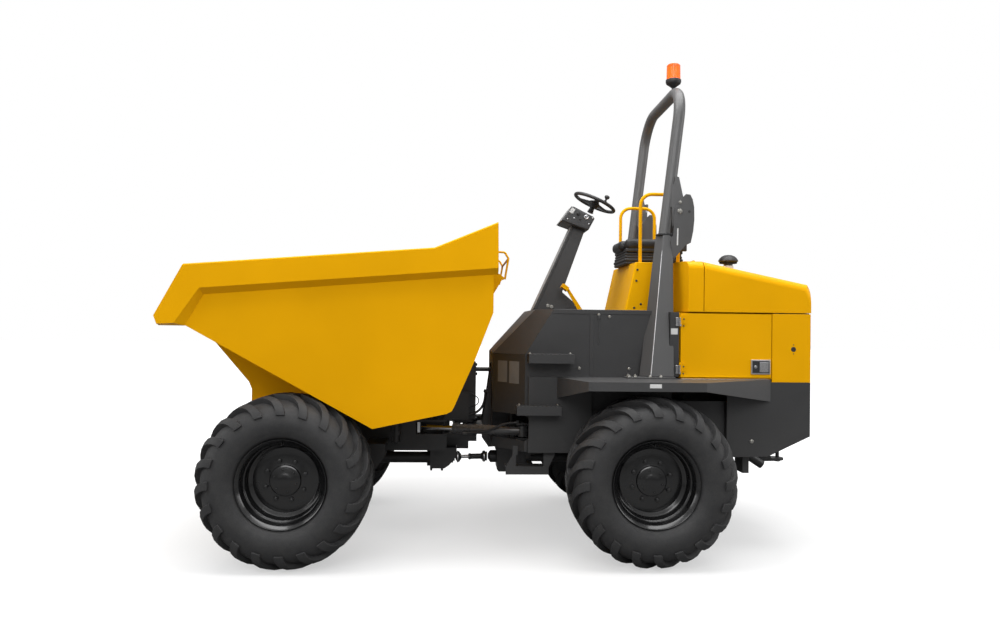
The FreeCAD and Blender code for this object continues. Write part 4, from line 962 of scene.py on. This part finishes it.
def tube(name, corners, bend, radius, smoothness=5):
    """A bent tube through corners in drawing millimetres, each rounded with one bend radius."""
    corners = [at(*corner) for corner in corners]
    path = [corners[0]]
    for before, corner, after in zip(corners, corners[1:], corners[2:]):
        back, on = (before - corner).normalized(), (after - corner).normalized()
        half = back.angle(on) / 2.0
        middle = corner + (back + on).normalized() * (bend / math.sin(half))
        start = corner + back * (bend / math.tan(half)) - middle
        turn_axis = start.cross(corner + on * (bend / math.tan(half)) - middle)
        path += [middle + Matrix.Rotation((math.pi - 2.0 * half) * step / 12.0, 3, turn_axis) @ start
                 for step in range(13)]
    path.append(corners[-1])
    holder, curve, _ = line_through(name, "POLY", path)
    curve.bevel_depth = radius
    curve.bevel_resolution = smoothness
    curve.use_fill_caps = True
    only(holder)
    bpy.ops.object.convert(target="MESH")
    bpy.ops.object.shade_smooth_by_angle(angle=math.radians(40.0))
    return bpy.context.active_object


def loft(name, low_ring, high_ring, edge=0.0):
    """A prism whose top ring is moved on to its own outline."""
    rise = Vector((0.0, 0.0, 0.5))
    piece = prism(name, [at(*p) for p in low_ring], rise * 1000.0)
    for low, high in zip(low_ring, high_ring):
        for vertex in piece.data.vertices:
            if (vertex.co - at(*low) - rise).length < 0.0001:
                vertex.co = at(*high)
    return bevelled(piece, edge, 3) if edge else piece


box_foot = [(-936, -432), (-936, 432), (-946, 440), (-1284, 440), (-1284, -440), (-946, -440)]
box_top = [(-1018, -432), (-1018, 432), (-1028, 440), (-1284, 440), (-1284, -440), (-1028, -440)]
plinth = loft("seat_box", [(*p, 1777) for p in box_foot], [(*p, 2155) for p in box_top], 0.004)
# The seat box takes the lighter copy of the yellow, which paints in light.
finish_piece(plinth, box_yellow_painted_light)
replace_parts(plinth, "seat_plinth")

rail_line = [(-1065, 380, 2150), (-1065, 380, 2695), (-1366, 380, 2695), (-1366, 380, 2150)]
hoops = tube("hand_rail_left", rail_line, 0.090, 0.014)
feet = [plate_box("hoop_foot", (x - 26, 356, 2153), (x + 26, 404, 2159), 0.0015, 1)
        for x in (-1065, -1366)]
hoops = joined("hand_rail_left", [hoops] + feet)
far_hoops = both_sides(hoops, "hand_rail", yellow_paint)
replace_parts(hoops, "hand_hoop_left")
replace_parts(far_hoops, "hand_hoop_right")

post = loft("roll_post", [(-990, 704, 1286), (-1232, 704, 1286), (-1232, 784, 1286), (-1059, 784, 1286)],
            [(-1148, 528, 2352), (-1262, 528, 2352), (-1262, 612, 2352), (-1188, 612, 2352)], 0.006)
base = plate_box("roll_post_base", (-1240, 684, 1274), (-880, 812, 1286), 0.003, 2)
cheek = [(-1235, 2300), (-1262, 2164), (-1352, 2272), (-1392, 2292), (-1410, 2380), (-1418, 2466), (-1416, 2561),
         (-1404, 2620), (-1386, 2656), (-1352, 2660), (-1296, 2600), (-1268, 2540), (-1258, 2350)]
inner_cheek = side_prism("cheek", cheek, 500, 510, 0.002)
outer_cheek = side_prism("cheek", cheek, 628, 638, 0.002)
tie = plate_box("cheek_tie", (-1320, 504, 2262), (-1240, 634, 2330), 0.003)
pivot = round_bar("pivot", at(-1324, 504, 2536), at(-1324, 640, 2536), 0.014, 24)
# A thin satin bar along the post's front fold is a painted highlight, standing in for the light caught by that
# rounded edge.
ridge_highlight = round_bar("ridge_highlight", at(-1060, 783, 1290), at(-1176, 627, 2230), 0.0035, 12)
both_sides(ridge_highlight, "roll_post_painted_highlight", satin_alloy)
roll_post = joined("roll_post_left", [post, base, inner_cheek, outer_cheek, tie, pivot])
far_post = both_sides(roll_post, "roll_post", post_paint)
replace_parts(roll_post, "rops_post_left")
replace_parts(far_post, "rops_post_right")

hoop_line = [(-1205, 569, 2358), (-1339.2, 569, 3505), (-1339.2, -569, 3505), (-1205, -569, 2358)]
hoop_parts = [tube("hoop", hoop_line, 0.260, 0.044, 8)]
bracket = [(-1256, 2410), (-1290, 2486), (-1350, 2500), (-1402, 2512), (-1404, 2560), (-1348, 2588),
           (-1303, 2790), (-1278, 2798), (-1246, 2640)]
for y0, y1 in ((518, 526), (612, 620)):
    hoop_parts.append(side_prism("bracket", bracket, y0, y1, 0.002))
    hoop_parts.append(side_prism("bracket", bracket, -y1, -y0, 0.002))
for y0 in (522, -616):
    hoop_parts.append(plate_box("web", (-1285, y0, 2560), (-1240, y0 + 94, 2740), 0.003))
roll_hoop = joined("roll_hoop_tube", hoop_parts)
finish_piece(roll_hoop, hoop_paint, "roll_hoop")
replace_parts(roll_hoop, "rops_hoop")
print("roll frame", len(roll_hoop.data.polygons), "faces")

# %% Roll frame hardware
bright = [
    bolts_at("pivot_bolts", [(-1306, 638, 2529)], (0, 1, 0), 0.026, 0.010, 0.019, 0.004),
    bolts_at("lock_bolts", [(-1309, 638, 2596)], (0, 1, 0), 0.016, 0.008, 0.012, 0.003),
    bolts_at("base_bolts", [(-896, 792, 1286), (-942, 792, 1286), (-1051, 796, 1286), (-1131, 796, 1286),
                            (-905, 712, 1286), (-960, 712, 1286)], (0, 0, 1), 0.020, 0.010, 0.015, 0.006)]
both_sides(joined("bolts", bright), "roll_post_bolts", zinc_plate)
label_line = [(-1284, 2271), (-1294, 2271), (-1296, 2399), (-1286, 2399)]
label = side_prism("roll_post_label", label_line, 638, 639.2)
finish_piece(label, blank_label)
# The black band round the joint of post and hoop is painted shade in the gap there, and the black disc on the
# cheek is the painted shade inside a hole; the pin end is a real part.
shade_and_pin = [side_prism("gap_painted_shade", [(-1150, 2350), (-1262, 2350), (-1262, 2362), (-1150, 2362)], 524, 614, 0.002),
        round_bar("seam_pin", at(-1248, 600, 2356), at(-1248, 632, 2356), 0.009, 16),
        round_bar("hole_painted_shade", at(-1378, 637, 2527), at(-1378, 639.5, 2527), 0.010, 20)]
both_sides(joined("shade_and_pin_parts", shade_and_pin), "roll_post_shade_and_pin", black_plastic)
far_fin = side_prism("fin", [(-1222, 2812), (-1340, 2752), (-1336, 2728), (-1222, 2700)], -563, -573, 0.002)
far_tab = plate_box("fin_tab", (-1352, -573, 2724), (-1330, -553, 2762), 0.002)
finish_piece(joined("roll_hoop_fin", [far_fin, far_tab]), hoop_paint, "roll_hoop")
strap = plate_box("fold_strap", (-1345, -566, 2560), (-1339, -560, 2726), 0.001, 1)
finish_piece(strap, black_rubber, "roll_hoop")
print("roll frame hardware placed")

# %% [markdown]
# ## Pedestal and instruments
# A folded column carries a sloping instrument box. Gauges are turned bezels round a dark face with one
# plain needle, laid out in the slope's own directions, so a place is given as on a flat panel.

# %% Pedestal, instrument box and gauges
column = [(-250, 1777), (-567, 2480), (-674, 2442), (-515, 1993), (-492, 1930), (-628, 1815), (-640, 1777)]
rib = [(-258, 1790), (-560, 2462), (-576, 2457), (-282, 1790)]
dash = [(-470, 2503), (-557, 2625), (-745, 2531), (-690, 2427)]
pedestal = joined("pedestal_body", [
    side_prism("pedestal", column, -95, 95, 0.007, 3), side_prism("rib", rib, 95, 101, 0.003),
    side_prism("rib", rib, -101, -95, 0.003), side_prism("dash_box", dash, -164, 164, 0.012, 3)])
finish_piece(pedestal, grey_paint)
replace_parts(pedestal, "control_console")

# Thin sheets of the lighter grey over the front faces of the column and the instrument box are painted light on
# those forward faces.
front_painted_light = [side_prism("strip", [(-253, 1786), (-566, 2480), (-569, 2478), (-256, 1786)], -93, 93),
              side_prism("front", [(-468, 2506), (-552, 2623), (-555, 2621), (-471, 2504)], -158, 158)]
finish_piece(joined("pedestal_front_painted_light", front_painted_light), painted_light_grey)

panel_up = Vector((-0.4453, 0.0, 0.8954))
panel_along = Vector((-0.8954, 0.0, -0.4453))


def on_dash(along, across, lift):
    """A point over the sloping instrument face: mm towards the driver, mm to the left, mm off it."""
    return at(-557, across, 2625) + (panel_along * along + panel_up * lift) / 1000.0


facia = [on_dash(12, -150, 0.5), on_dash(12, 150, 0.5), on_dash(196, 150, 0.5), on_dash(196, -150, 0.5)]
facia_plate = prism("facia", facia, panel_up * 3.0, 0.0012)
finish_piece(facia_plate, black_plastic)
bezels, faces = [], []
for along, across, radius in ((62, 62, 44), (62, -62, 44), (148, 96, 19), (148, 48, 19), (148, -48, 19),
                              (148, -96, 19)):
    steps = [(radius - 5, 0.5), (radius - 5, 4.5), (radius - 3, 6.5), (radius - 0.5, 6.5), (radius, 5.0),
             (radius, 0.0), (radius - 5, 0.5)]
    bezels.append(turned("bezel", on_dash(along, across, 2.5), steps, panel_up, panel_along, 28))
    faces.append(round_bar("dial", on_dash(along, across, 2.0), on_dash(along, across, 4.2),
                           (radius - 4.5) / 1000.0, 28))
    needle = [(-2, -1.2), (-2, 1.2), (radius * 0.6, 0.5), (radius * 0.6, -0.5)]
    bezels.append(prism("needle", [on_dash(along + u, across + v, 4.2) for u, v in needle], panel_up * 0.8))
gauge_rings = joined("gauge_rings", bezels)
finish_piece(gauge_rings, satin_alloy)
dials = joined("gauge_faces", faces)
finish_piece(dials, seat_vinyl)

label = side_prism("dash_label", [(-556, 2612), (-584, 2597), (-560, 2560), (-533, 2576)], 164, 167, 0.0008, 1)
finish_piece(label, blank_label)
knobs = [turned("knob", at(-606, 164, 2563), [(0, 0), (15, 0), (15, 4), (11, 6), (11, 20), (9, 23), (0, 23)]),
         turned("knob", at(-621, 164, 2519), [(0, 0), (8, 0), (8, 10), (6, 12), (0, 12)], turns=18)]
finish_piece(joined("dash_knobs", knobs), black_plastic)
key_ring = turned("key_ring", at(-673, 164, 2535), [(9, 0), (9, 5), (14, 6), (18, 3), (18, 0), (9, 0)])
key = plate_box("key", (-675, 164, 2529), (-671, 176, 2541), 0.001, 1)
small = bolts_at("dash_screws", [(-694, 164, 2480), (-573, 164, 2527), (-520, 164, 2520), (-724, 164, 2530)],
                 (0, 1, 0), 0.009, 0.003, 0.0062)
finish_piece(joined("dash_ignition", [key_ring, key, small]), satin_alloy)
print("dash done")

# %% [markdown]
# ## Steering wheel
# A moulded grip on three flat spokes, with a hub, a pleated boot below and a spinner knob for one-handed
# turning. The grip is a torus, and each round part is an outline spun about the column's axis.

# %% Steering wheel
WHEEL_R = 0.172
centre = at(-767, 0, 2679)
axis = Vector((-0.409, 0.0, 0.912)).normalized()
level = Vector((0.912, 0.0, 0.409)).normalized()
deselect()
bpy.ops.mesh.primitive_torus_add(major_radius=WHEEL_R, minor_radius=0.0142, major_segments=72,
                                 minor_segments=14, location=centre,
                                 rotation=axis.to_track_quat("Z", "Y").to_euler())
ring = bpy.context.active_object
ring.name = "grip"
bpy.ops.object.transform_apply(location=True, rotation=True, scale=True)
bpy.ops.object.shade_smooth()
wheel_parts = [ring]
for turn in (90, 210, 330):
    a = math.radians(turn)
    out = level * math.cos(a) + Vector((0, 1, 0)) * math.sin(a)
    wide = axis.cross(out)
    spoke = [centre + out * r + wide * w - axis * 0.012 for r, w in (
        (0.020, -0.044), (0.070, -0.030), (0.130, -0.018), (0.164, -0.026), (0.164, 0.026), (0.130, 0.018),
        (0.070, 0.030), (0.020, 0.044))]
    wheel_parts.append(prism("spoke", spoke, axis * 9.0, 0.0035))
knob_foot = centre + (level * -0.34 + Vector((0, 0.94, 0))) * WHEEL_R
hub_steps = [(0, -44), (30, -44), (34, -34), (46, -20), (48, -4), (38, 6), (26, 11), (10, 13), (0, 13)]
boot_steps = [(0, -92), (24, -92), (27, -84), (20, -80), (25, -74), (19, -69), (23, -63), (18, -58),
              (21, -52), (17, -47), (17, -40), (0, -40)]
knob_steps = [(0, 0), (13, 0), (14, 14), (9, 18), (8, 32), (14, 36), (20.5, 44), (21.5, 52), (18, 60),
              (10, 64), (0, 65)]
wheel_parts += [turned("hub", centre, hub_steps, axis, level, 32),
                turned("boot", centre, boot_steps, axis, level),
                turned("spinner", knob_foot, knob_steps, axis, level, smooth=40.0)]
wheel = joined("steering_grip", wheel_parts)
finish_piece(wheel, black_plastic, "hand_wheel")
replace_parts(wheel, "steering_wheel")
print("steering wheel", len(wheel.data.polygons), "faces")

# %% [markdown]
# ## Body hardware
# Doors hang on bright barrel hinges and shut with a sunk paddle latch. A grey plate closes the gap
# between roll post and door, a liner closes the wheel arch, a rubber seal runs under the bonnet's
# edge, and bare label plates sit where such machines carry their notices, with nothing on them.

# %% Latches
frame_ring = plate_box("latch_frame", (-1964, 750, 1311), (-1817, 760.5, 1420), 0.004, 3)
hole = plate_box("latch_hole", (-1954, 753, 1321), (-1827, 775, 1410))
cut = frame_ring.modifiers.new("cut", "BOOLEAN")
cut.object = hole
cut.operation = "DIFFERENCE"
apply_all(frame_ring)
bpy.data.objects.remove(hole, do_unlink=True)
paddle = plate_box("paddle", (-1949, 754, 1328), (-1886, 761, 1403), 0.004, 3)
lip = plate_box("paddle_lip", (-1890, 752, 1328), (-1881, 764, 1403), 0.0025)
lock = turned("lock", at(-1852, 752, 1366), [(0, 0), (13, 0), (13, 5), (10, 7.5), (3, 7.5), (3, 5), (0, 5)])
latch = joined("door_latch", [frame_ring, paddle, lip, lock])
both_sides(latch, "door_latch", satin_alloy, "door_left", "door_right")
recess = plate_box("latch_recess", (-1955, 757, 1320), (-1826, 758.2, 1411))
both_sides(recess, "latch_recess", black_plastic, "door_left", "door_right")

# %% Hinges, corner plates and the filler
leaves, knuckles = [], []
for z in (1309, 1661):
    leaves.append(plate_box("leaf", (-1272, 752, z + 2), (-1252, 755, z + 63), 0.001, 1))
    for low in (z, z + 22, z + 44):
        knuckles.append(round_bar("knuckle", at(-1281, 758.5, low), at(-1281, 758.5, low + 20), 0.0088, 20))
both_sides(joined("hinge", leaves + knuckles), "door_hinge", satin_alloy)
screw_places = [(-1310, 756, 1714), (-1310, 750, 1663), (-1310, 756, 1364), (-1310, 750, 1312)]
screws = bolts_at("door_screws", screw_places, (0, 1, 0), 0.008, 0.0025, 0.0058)
both_sides(screws, "door_screws", chassis_black, "door_left", "door_right")
plate = boxes("bay_plate", [((-1277, 741, 1287), (-1206, 747, 1765), 0.002),
                            ((-1212, 655, 1287), (-1206, 747, 1765), 0.002)])
both_sides(plate, "bay_front_plate", grey_paint)
bolt_places = [(-1258, 747, z) for z in (1718, 1669, 1358, 1316)]
plate_bolts = bolts_at("plate_bolts", bolt_places, (0, 1, 0), 0.009, 0.004, 0.0072)
both_sides(plate_bolts, "bay_plate_bolts", zinc_plate)
port_steps = [(0, 0), (19, 0), (19, 1.2), (17, 2.4), (13, 2.4), (12, 0.8), (0, 0.8)]
port = turned("port", at(-2141, 749, 1499), port_steps, turns=32)
screw_places = [(-2141, 749.5, 1533), (-2141, 749.5, 1466)]
port_screws = bolts_at("port_screws", screw_places, (0, 1, 0), 0.006, 0.002, 0.004)
both_sides(joined("port", [port, port_screws]), "fill_port", black_plastic)
print("door hardware placed")

# %% Seals, painted highlights on the mudguard tops, arch liners and label plates
seal = boxes("seal", [((-2262, 728, 1748), (-1990, 736, 1767), 0.002),
                      ((-2262, -736, 1748), (-1990, -728, 1767), 0.002),
                      ((-2266, -736, 1748), (-2258, 736, 1767), 0.002)])
finish_piece(seal, black_rubber)
# A thin satin plate along each mudguard's top edge is a painted highlight, standing in for the pale line of
# light there.
guard_highlight_strip = prism("guard_highlight_strip", [at(-1280, 752, 1275), at(-1945, 752, 1275), at(-1945, 764, 1275), at(-1500, 812, 1275),
                      at(-1280, 812, 1275)], (0, 0, 2.0), 0.0006, 1)
both_sides(guard_highlight_strip, "guard_top_painted_highlight", satin_alloy)
liner = boxes("liner", [((-1646, 690, 760), (-1264, 697, 1106), 0.002),
                        ((-1646, 690, 760), (-1639, 747, 1106), 0.002)])
both_sides(liner, "arch_liner", grey_paint)
corner, along, outward = Vector((80, 360, 0)), Vector((-0.6034, 0.7975, 0)), Vector((0.7975, 0.6034, 0))
labels = []
for near, far, z0, z1 in ((64, 173, 1220, 1382), (197, 309, 1215, 1382)):
    outline = [at(*(corner + along * u + outward * 0.2 + Vector((0, 0, z))))
               for u, z in ((near, z0), (far, z0), (far, z1), (near, z1))]
    labels.append(prism("label", outline, outward * 1.2, 0.0004, 1))
finish_piece(joined("tub_labels", labels), grey_label)
white = boxes("white_labels", [((-1267, 747, 1600), (-1216, 748.2, 1644), 0.0004, 1),
                               ((-1034, 1199.6, 1236), (-952, 1200.6, 1263), 0.0004, 1)])
finish_piece(white, blank_label)
print("labels", len(labels) + 2)

# %% Tub, step and skirt bolts
tub_bolts = bolts_at("tub_bolts", [(-552, 660, 1339), (-774, 660, 1726), (-925, 660, 1339), (-694, 660, 1740)],
                     (0, 1, 0), 0.014, 0.006, 0.011)
step_bolts = bolts_at("step_bolts", [(-178, 690, 1445), (-478, 690, 1445), (-100, 720, 1068), (-385, 720, 1068)],
                      (0, 0, 1), 0.014, 0.007, 0.011, 0.004)
skirt_bolts = bolts_at("skirt_bolts", [(-1829, 750, 815)], (0, 1, 0), 0.020, 0.008, 0.015)
strap = boxes("tub_strap", [((-701, 660, 1520), (-691, 663.5, 1742), 0.0015),
                            ((-706, 660, 1706), (-686, 668, 1736), 0.003)])
both_sides(joined("bolts", [tub_bolts, step_bolts, skirt_bolts]), "body_bolts", zinc_plate)
both_sides(strap, "tub_strap", grey_paint)
lap = boxes("lap", [((-655, 660, 1290), (-628, 662.5, 1770), 0.001, 1),
                    ((-1210, 660, 1744), (-352, 663, 1776), 0.001, 1)])
both_sides(lap, "tub_laps", grey_paint)
column_bolts = bolts_at("column_bolts", [(-376, 95, 1817), (-406, 95, 1809)], (0, 1, 0), 0.018, 0.007, 0.014)
finish_piece(column_bolts, zinc_plate)
studs = []
for x0, x1, z in ((-494, -162, 1445), (-403, -78, 1068)):
    for row, y in enumerate((718, 746, 774, 802)):
        for number in range(9):
            x = x0 + 22 + (x1 - x0 - 44) * (number + 0.25 + 0.5 * (row % 2)) / 9.0
            studs.append((at(x, y, z), (0, 0, 1)))
button = bevelled(round_bar("button", (0, 0, -0.001), (0, 0, 0.0035), 0.008, 14), 0.0012, 2, 25.0)
grips = scatter("step_grips", button, studs)
both_sides(grips, "step_grips", grey_paint)
print("tub hardware placed")

# %% [markdown]
# ## The slot in the skip's floor
# Where the trough begins, the frame's floor plate is open across its width. A strip of plate closes it.

# %% Close the slot
strip = side_prism("skip_floor_strip", [(858, 952.8), (927, 938.4), (940, 938.4), (940, 946.4), (927, 946.8),
                                        (858, 961.3)], -434, 434)
finish_piece(strip, yellow_paint, "skip")
print("strip", len(strip.data.polygons), "faces")

# %% [markdown]
# ## The air intake
# A turned cap on a stem, with a ring of thin fins in the gap under its dome. One fin is an upright
# plate, and the ring is sixteen of them round the stem.

# %% Intake cap and seat box bolts
cap_line = [(0, 0), (40, 0), (40, 6), (35, 10), (35, 76), (42, 80), (42, 88), (60, 92), (76, 98), (79, 104),
            (76, 112), (66, 128), (50, 142), (28, 151), (0, 154)]
intake_foot = at(-1830, 200, 2092)
intake = turned("intake", intake_foot, cap_line, (0, 0, 1), turns=48, smooth=38.0)
FINS = 16
fins = []
for number in range(FINS):
    turn = math.tau * number / FINS
    out = Vector((math.cos(turn), math.sin(turn), 0.0))
    side = Vector((-out.y, out.x, 0.0)) * 0.0015
    fins.append(prism("fin", [intake_foot + out * r - side + Vector((0, 0, h)) for r, h in (
        (0.034, 0.082), (0.068, 0.082), (0.072, 0.099), (0.034, 0.099))], side * 2000.0))
intake = joined("intake_cap", [intake] + fins)
finish_piece(intake, black_plastic, "hood")
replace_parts(intake, "pre_cleaner")
band_steps = [(35, 38), (41, 39), (42, 44), (42, 60), (41, 65), (35, 66), (35, 38)]
band = turned("band", intake_foot, band_steps, (0, 0, 1), turns=40)
finish_piece(band, blank_label, "hood")
bolt_places = [(x, 440, z) for x, z in ((-1032, 2096), (-1024, 2010), (-1009, 1800), (-1060, 1830),
                                        (-1180, 2080), (-1180, 1830))]
seat_bolts = bolts_at("plinth_bolts", bolt_places, (0, 1, 0), 0.011, 0.005, 0.009)
both_sides(seat_bolts, "plinth_bolts", chassis_black)
print("intake", len(intake.data.polygons), "faces")

# %% [markdown]
# ## The steering joint
# Under the pivots a short shaft carries drive to the front axle: dark yokes with bright machined rings
# and a sleeve that slides. Each piece is turned about the shaft's own line. A valve block between the
# front rails feeds the rams, with solenoids at its sides and bright hex ports on its front face.

# %% Drive shaft and valve block
shaft_a, shaft_b = at(109, 0, 579), at(371, 0, 573)
shaft_axis = (shaft_b - shaft_a).normalized()


def on_shaft(name, steps):
    """A turned piece on the drive shaft: (mm from the rear joint, radius mm)."""
    return turned(name, shaft_a, [(r, s) for s, r in steps], shaft_axis, (0.0, 0.0, 1.0), 28)


sleeve = [(-2, 0), (-2, 26), (6, 34), (10, 44), (30, 44), (33, 30), (46, 22), (126, 22), (128, 26), (140, 26),
          (142, 22), (146, 22), (146, 0)]
dark_shaft = [on_shaft("sleeve", sleeve),
              on_shaft("front_yoke", [(204, 0), (204, 20), (212, 30), (218, 41), (228, 45), (238, 45),
                                      (246, 28), (252, 18), (252, 0)])]
for middle, arm, radius in ((shaft_a, (0, 0, 0.036), 0.009), (shaft_b, (0, 0, 0.034), 0.0065),
                            (shaft_a, (0, 0.022, 0), 0.008)):
    dark_shaft.append(round_bar("cross", middle - Vector(arm), middle + Vector(arm), radius))
dark_shaft = joined("drive_shaft_yokes", dark_shaft)
finish_piece(dark_shaft, chassis_black, "prop")
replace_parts(dark_shaft, "prop_shaft")
bright_shaft = joined("drive_shaft_bright", [
    on_shaft("stub", [(140, 0), (140, 14), (206, 14), (206, 0)]),
    on_shaft("ring", [(12, 43), (12, 46), (22, 46), (22, 43), (12, 43)]),
    on_shaft("ring", [(228, 44), (228, 48), (238, 48), (238, 44), (228, 44)])])
finish_piece(bright_shaft, satin_alloy, "prop")
rear_yoke = on_shaft("output_yoke", [(-36, 0), (-36, 40), (-26, 42), (-20, 28), (-14, 22), (-14, 0)])
finish_piece(rear_yoke, chassis_black)

valve = [plate_box("valve_block", (410, -84, 792), (640, 84, 925), 0.004),
         plate_box("valve_top", (500, -60, 925), (590, 60, 938), 0.003)]
for x in (512, 547, 582):
    valve.append(round_bar("coil", at(x, 86, 888), at(x, 122, 888), 0.014, 18))
    valve.append(round_bar("coil", at(x, -122, 888), at(x, -86, 888), 0.014, 18))
valve_block = joined("tip_valve_block", valve)
finish_piece(valve_block, chassis_black, "front_chassis")
ports = scatter("valve_ports", hex_bolt(0.019, 0.014, 0.013),
                [(at(640, y, 872), (1, 0, 0)) for y in (-60, -20, 20, 60)])
finish_piece(ports, zinc_plate, "front_chassis")
print("joint details placed")
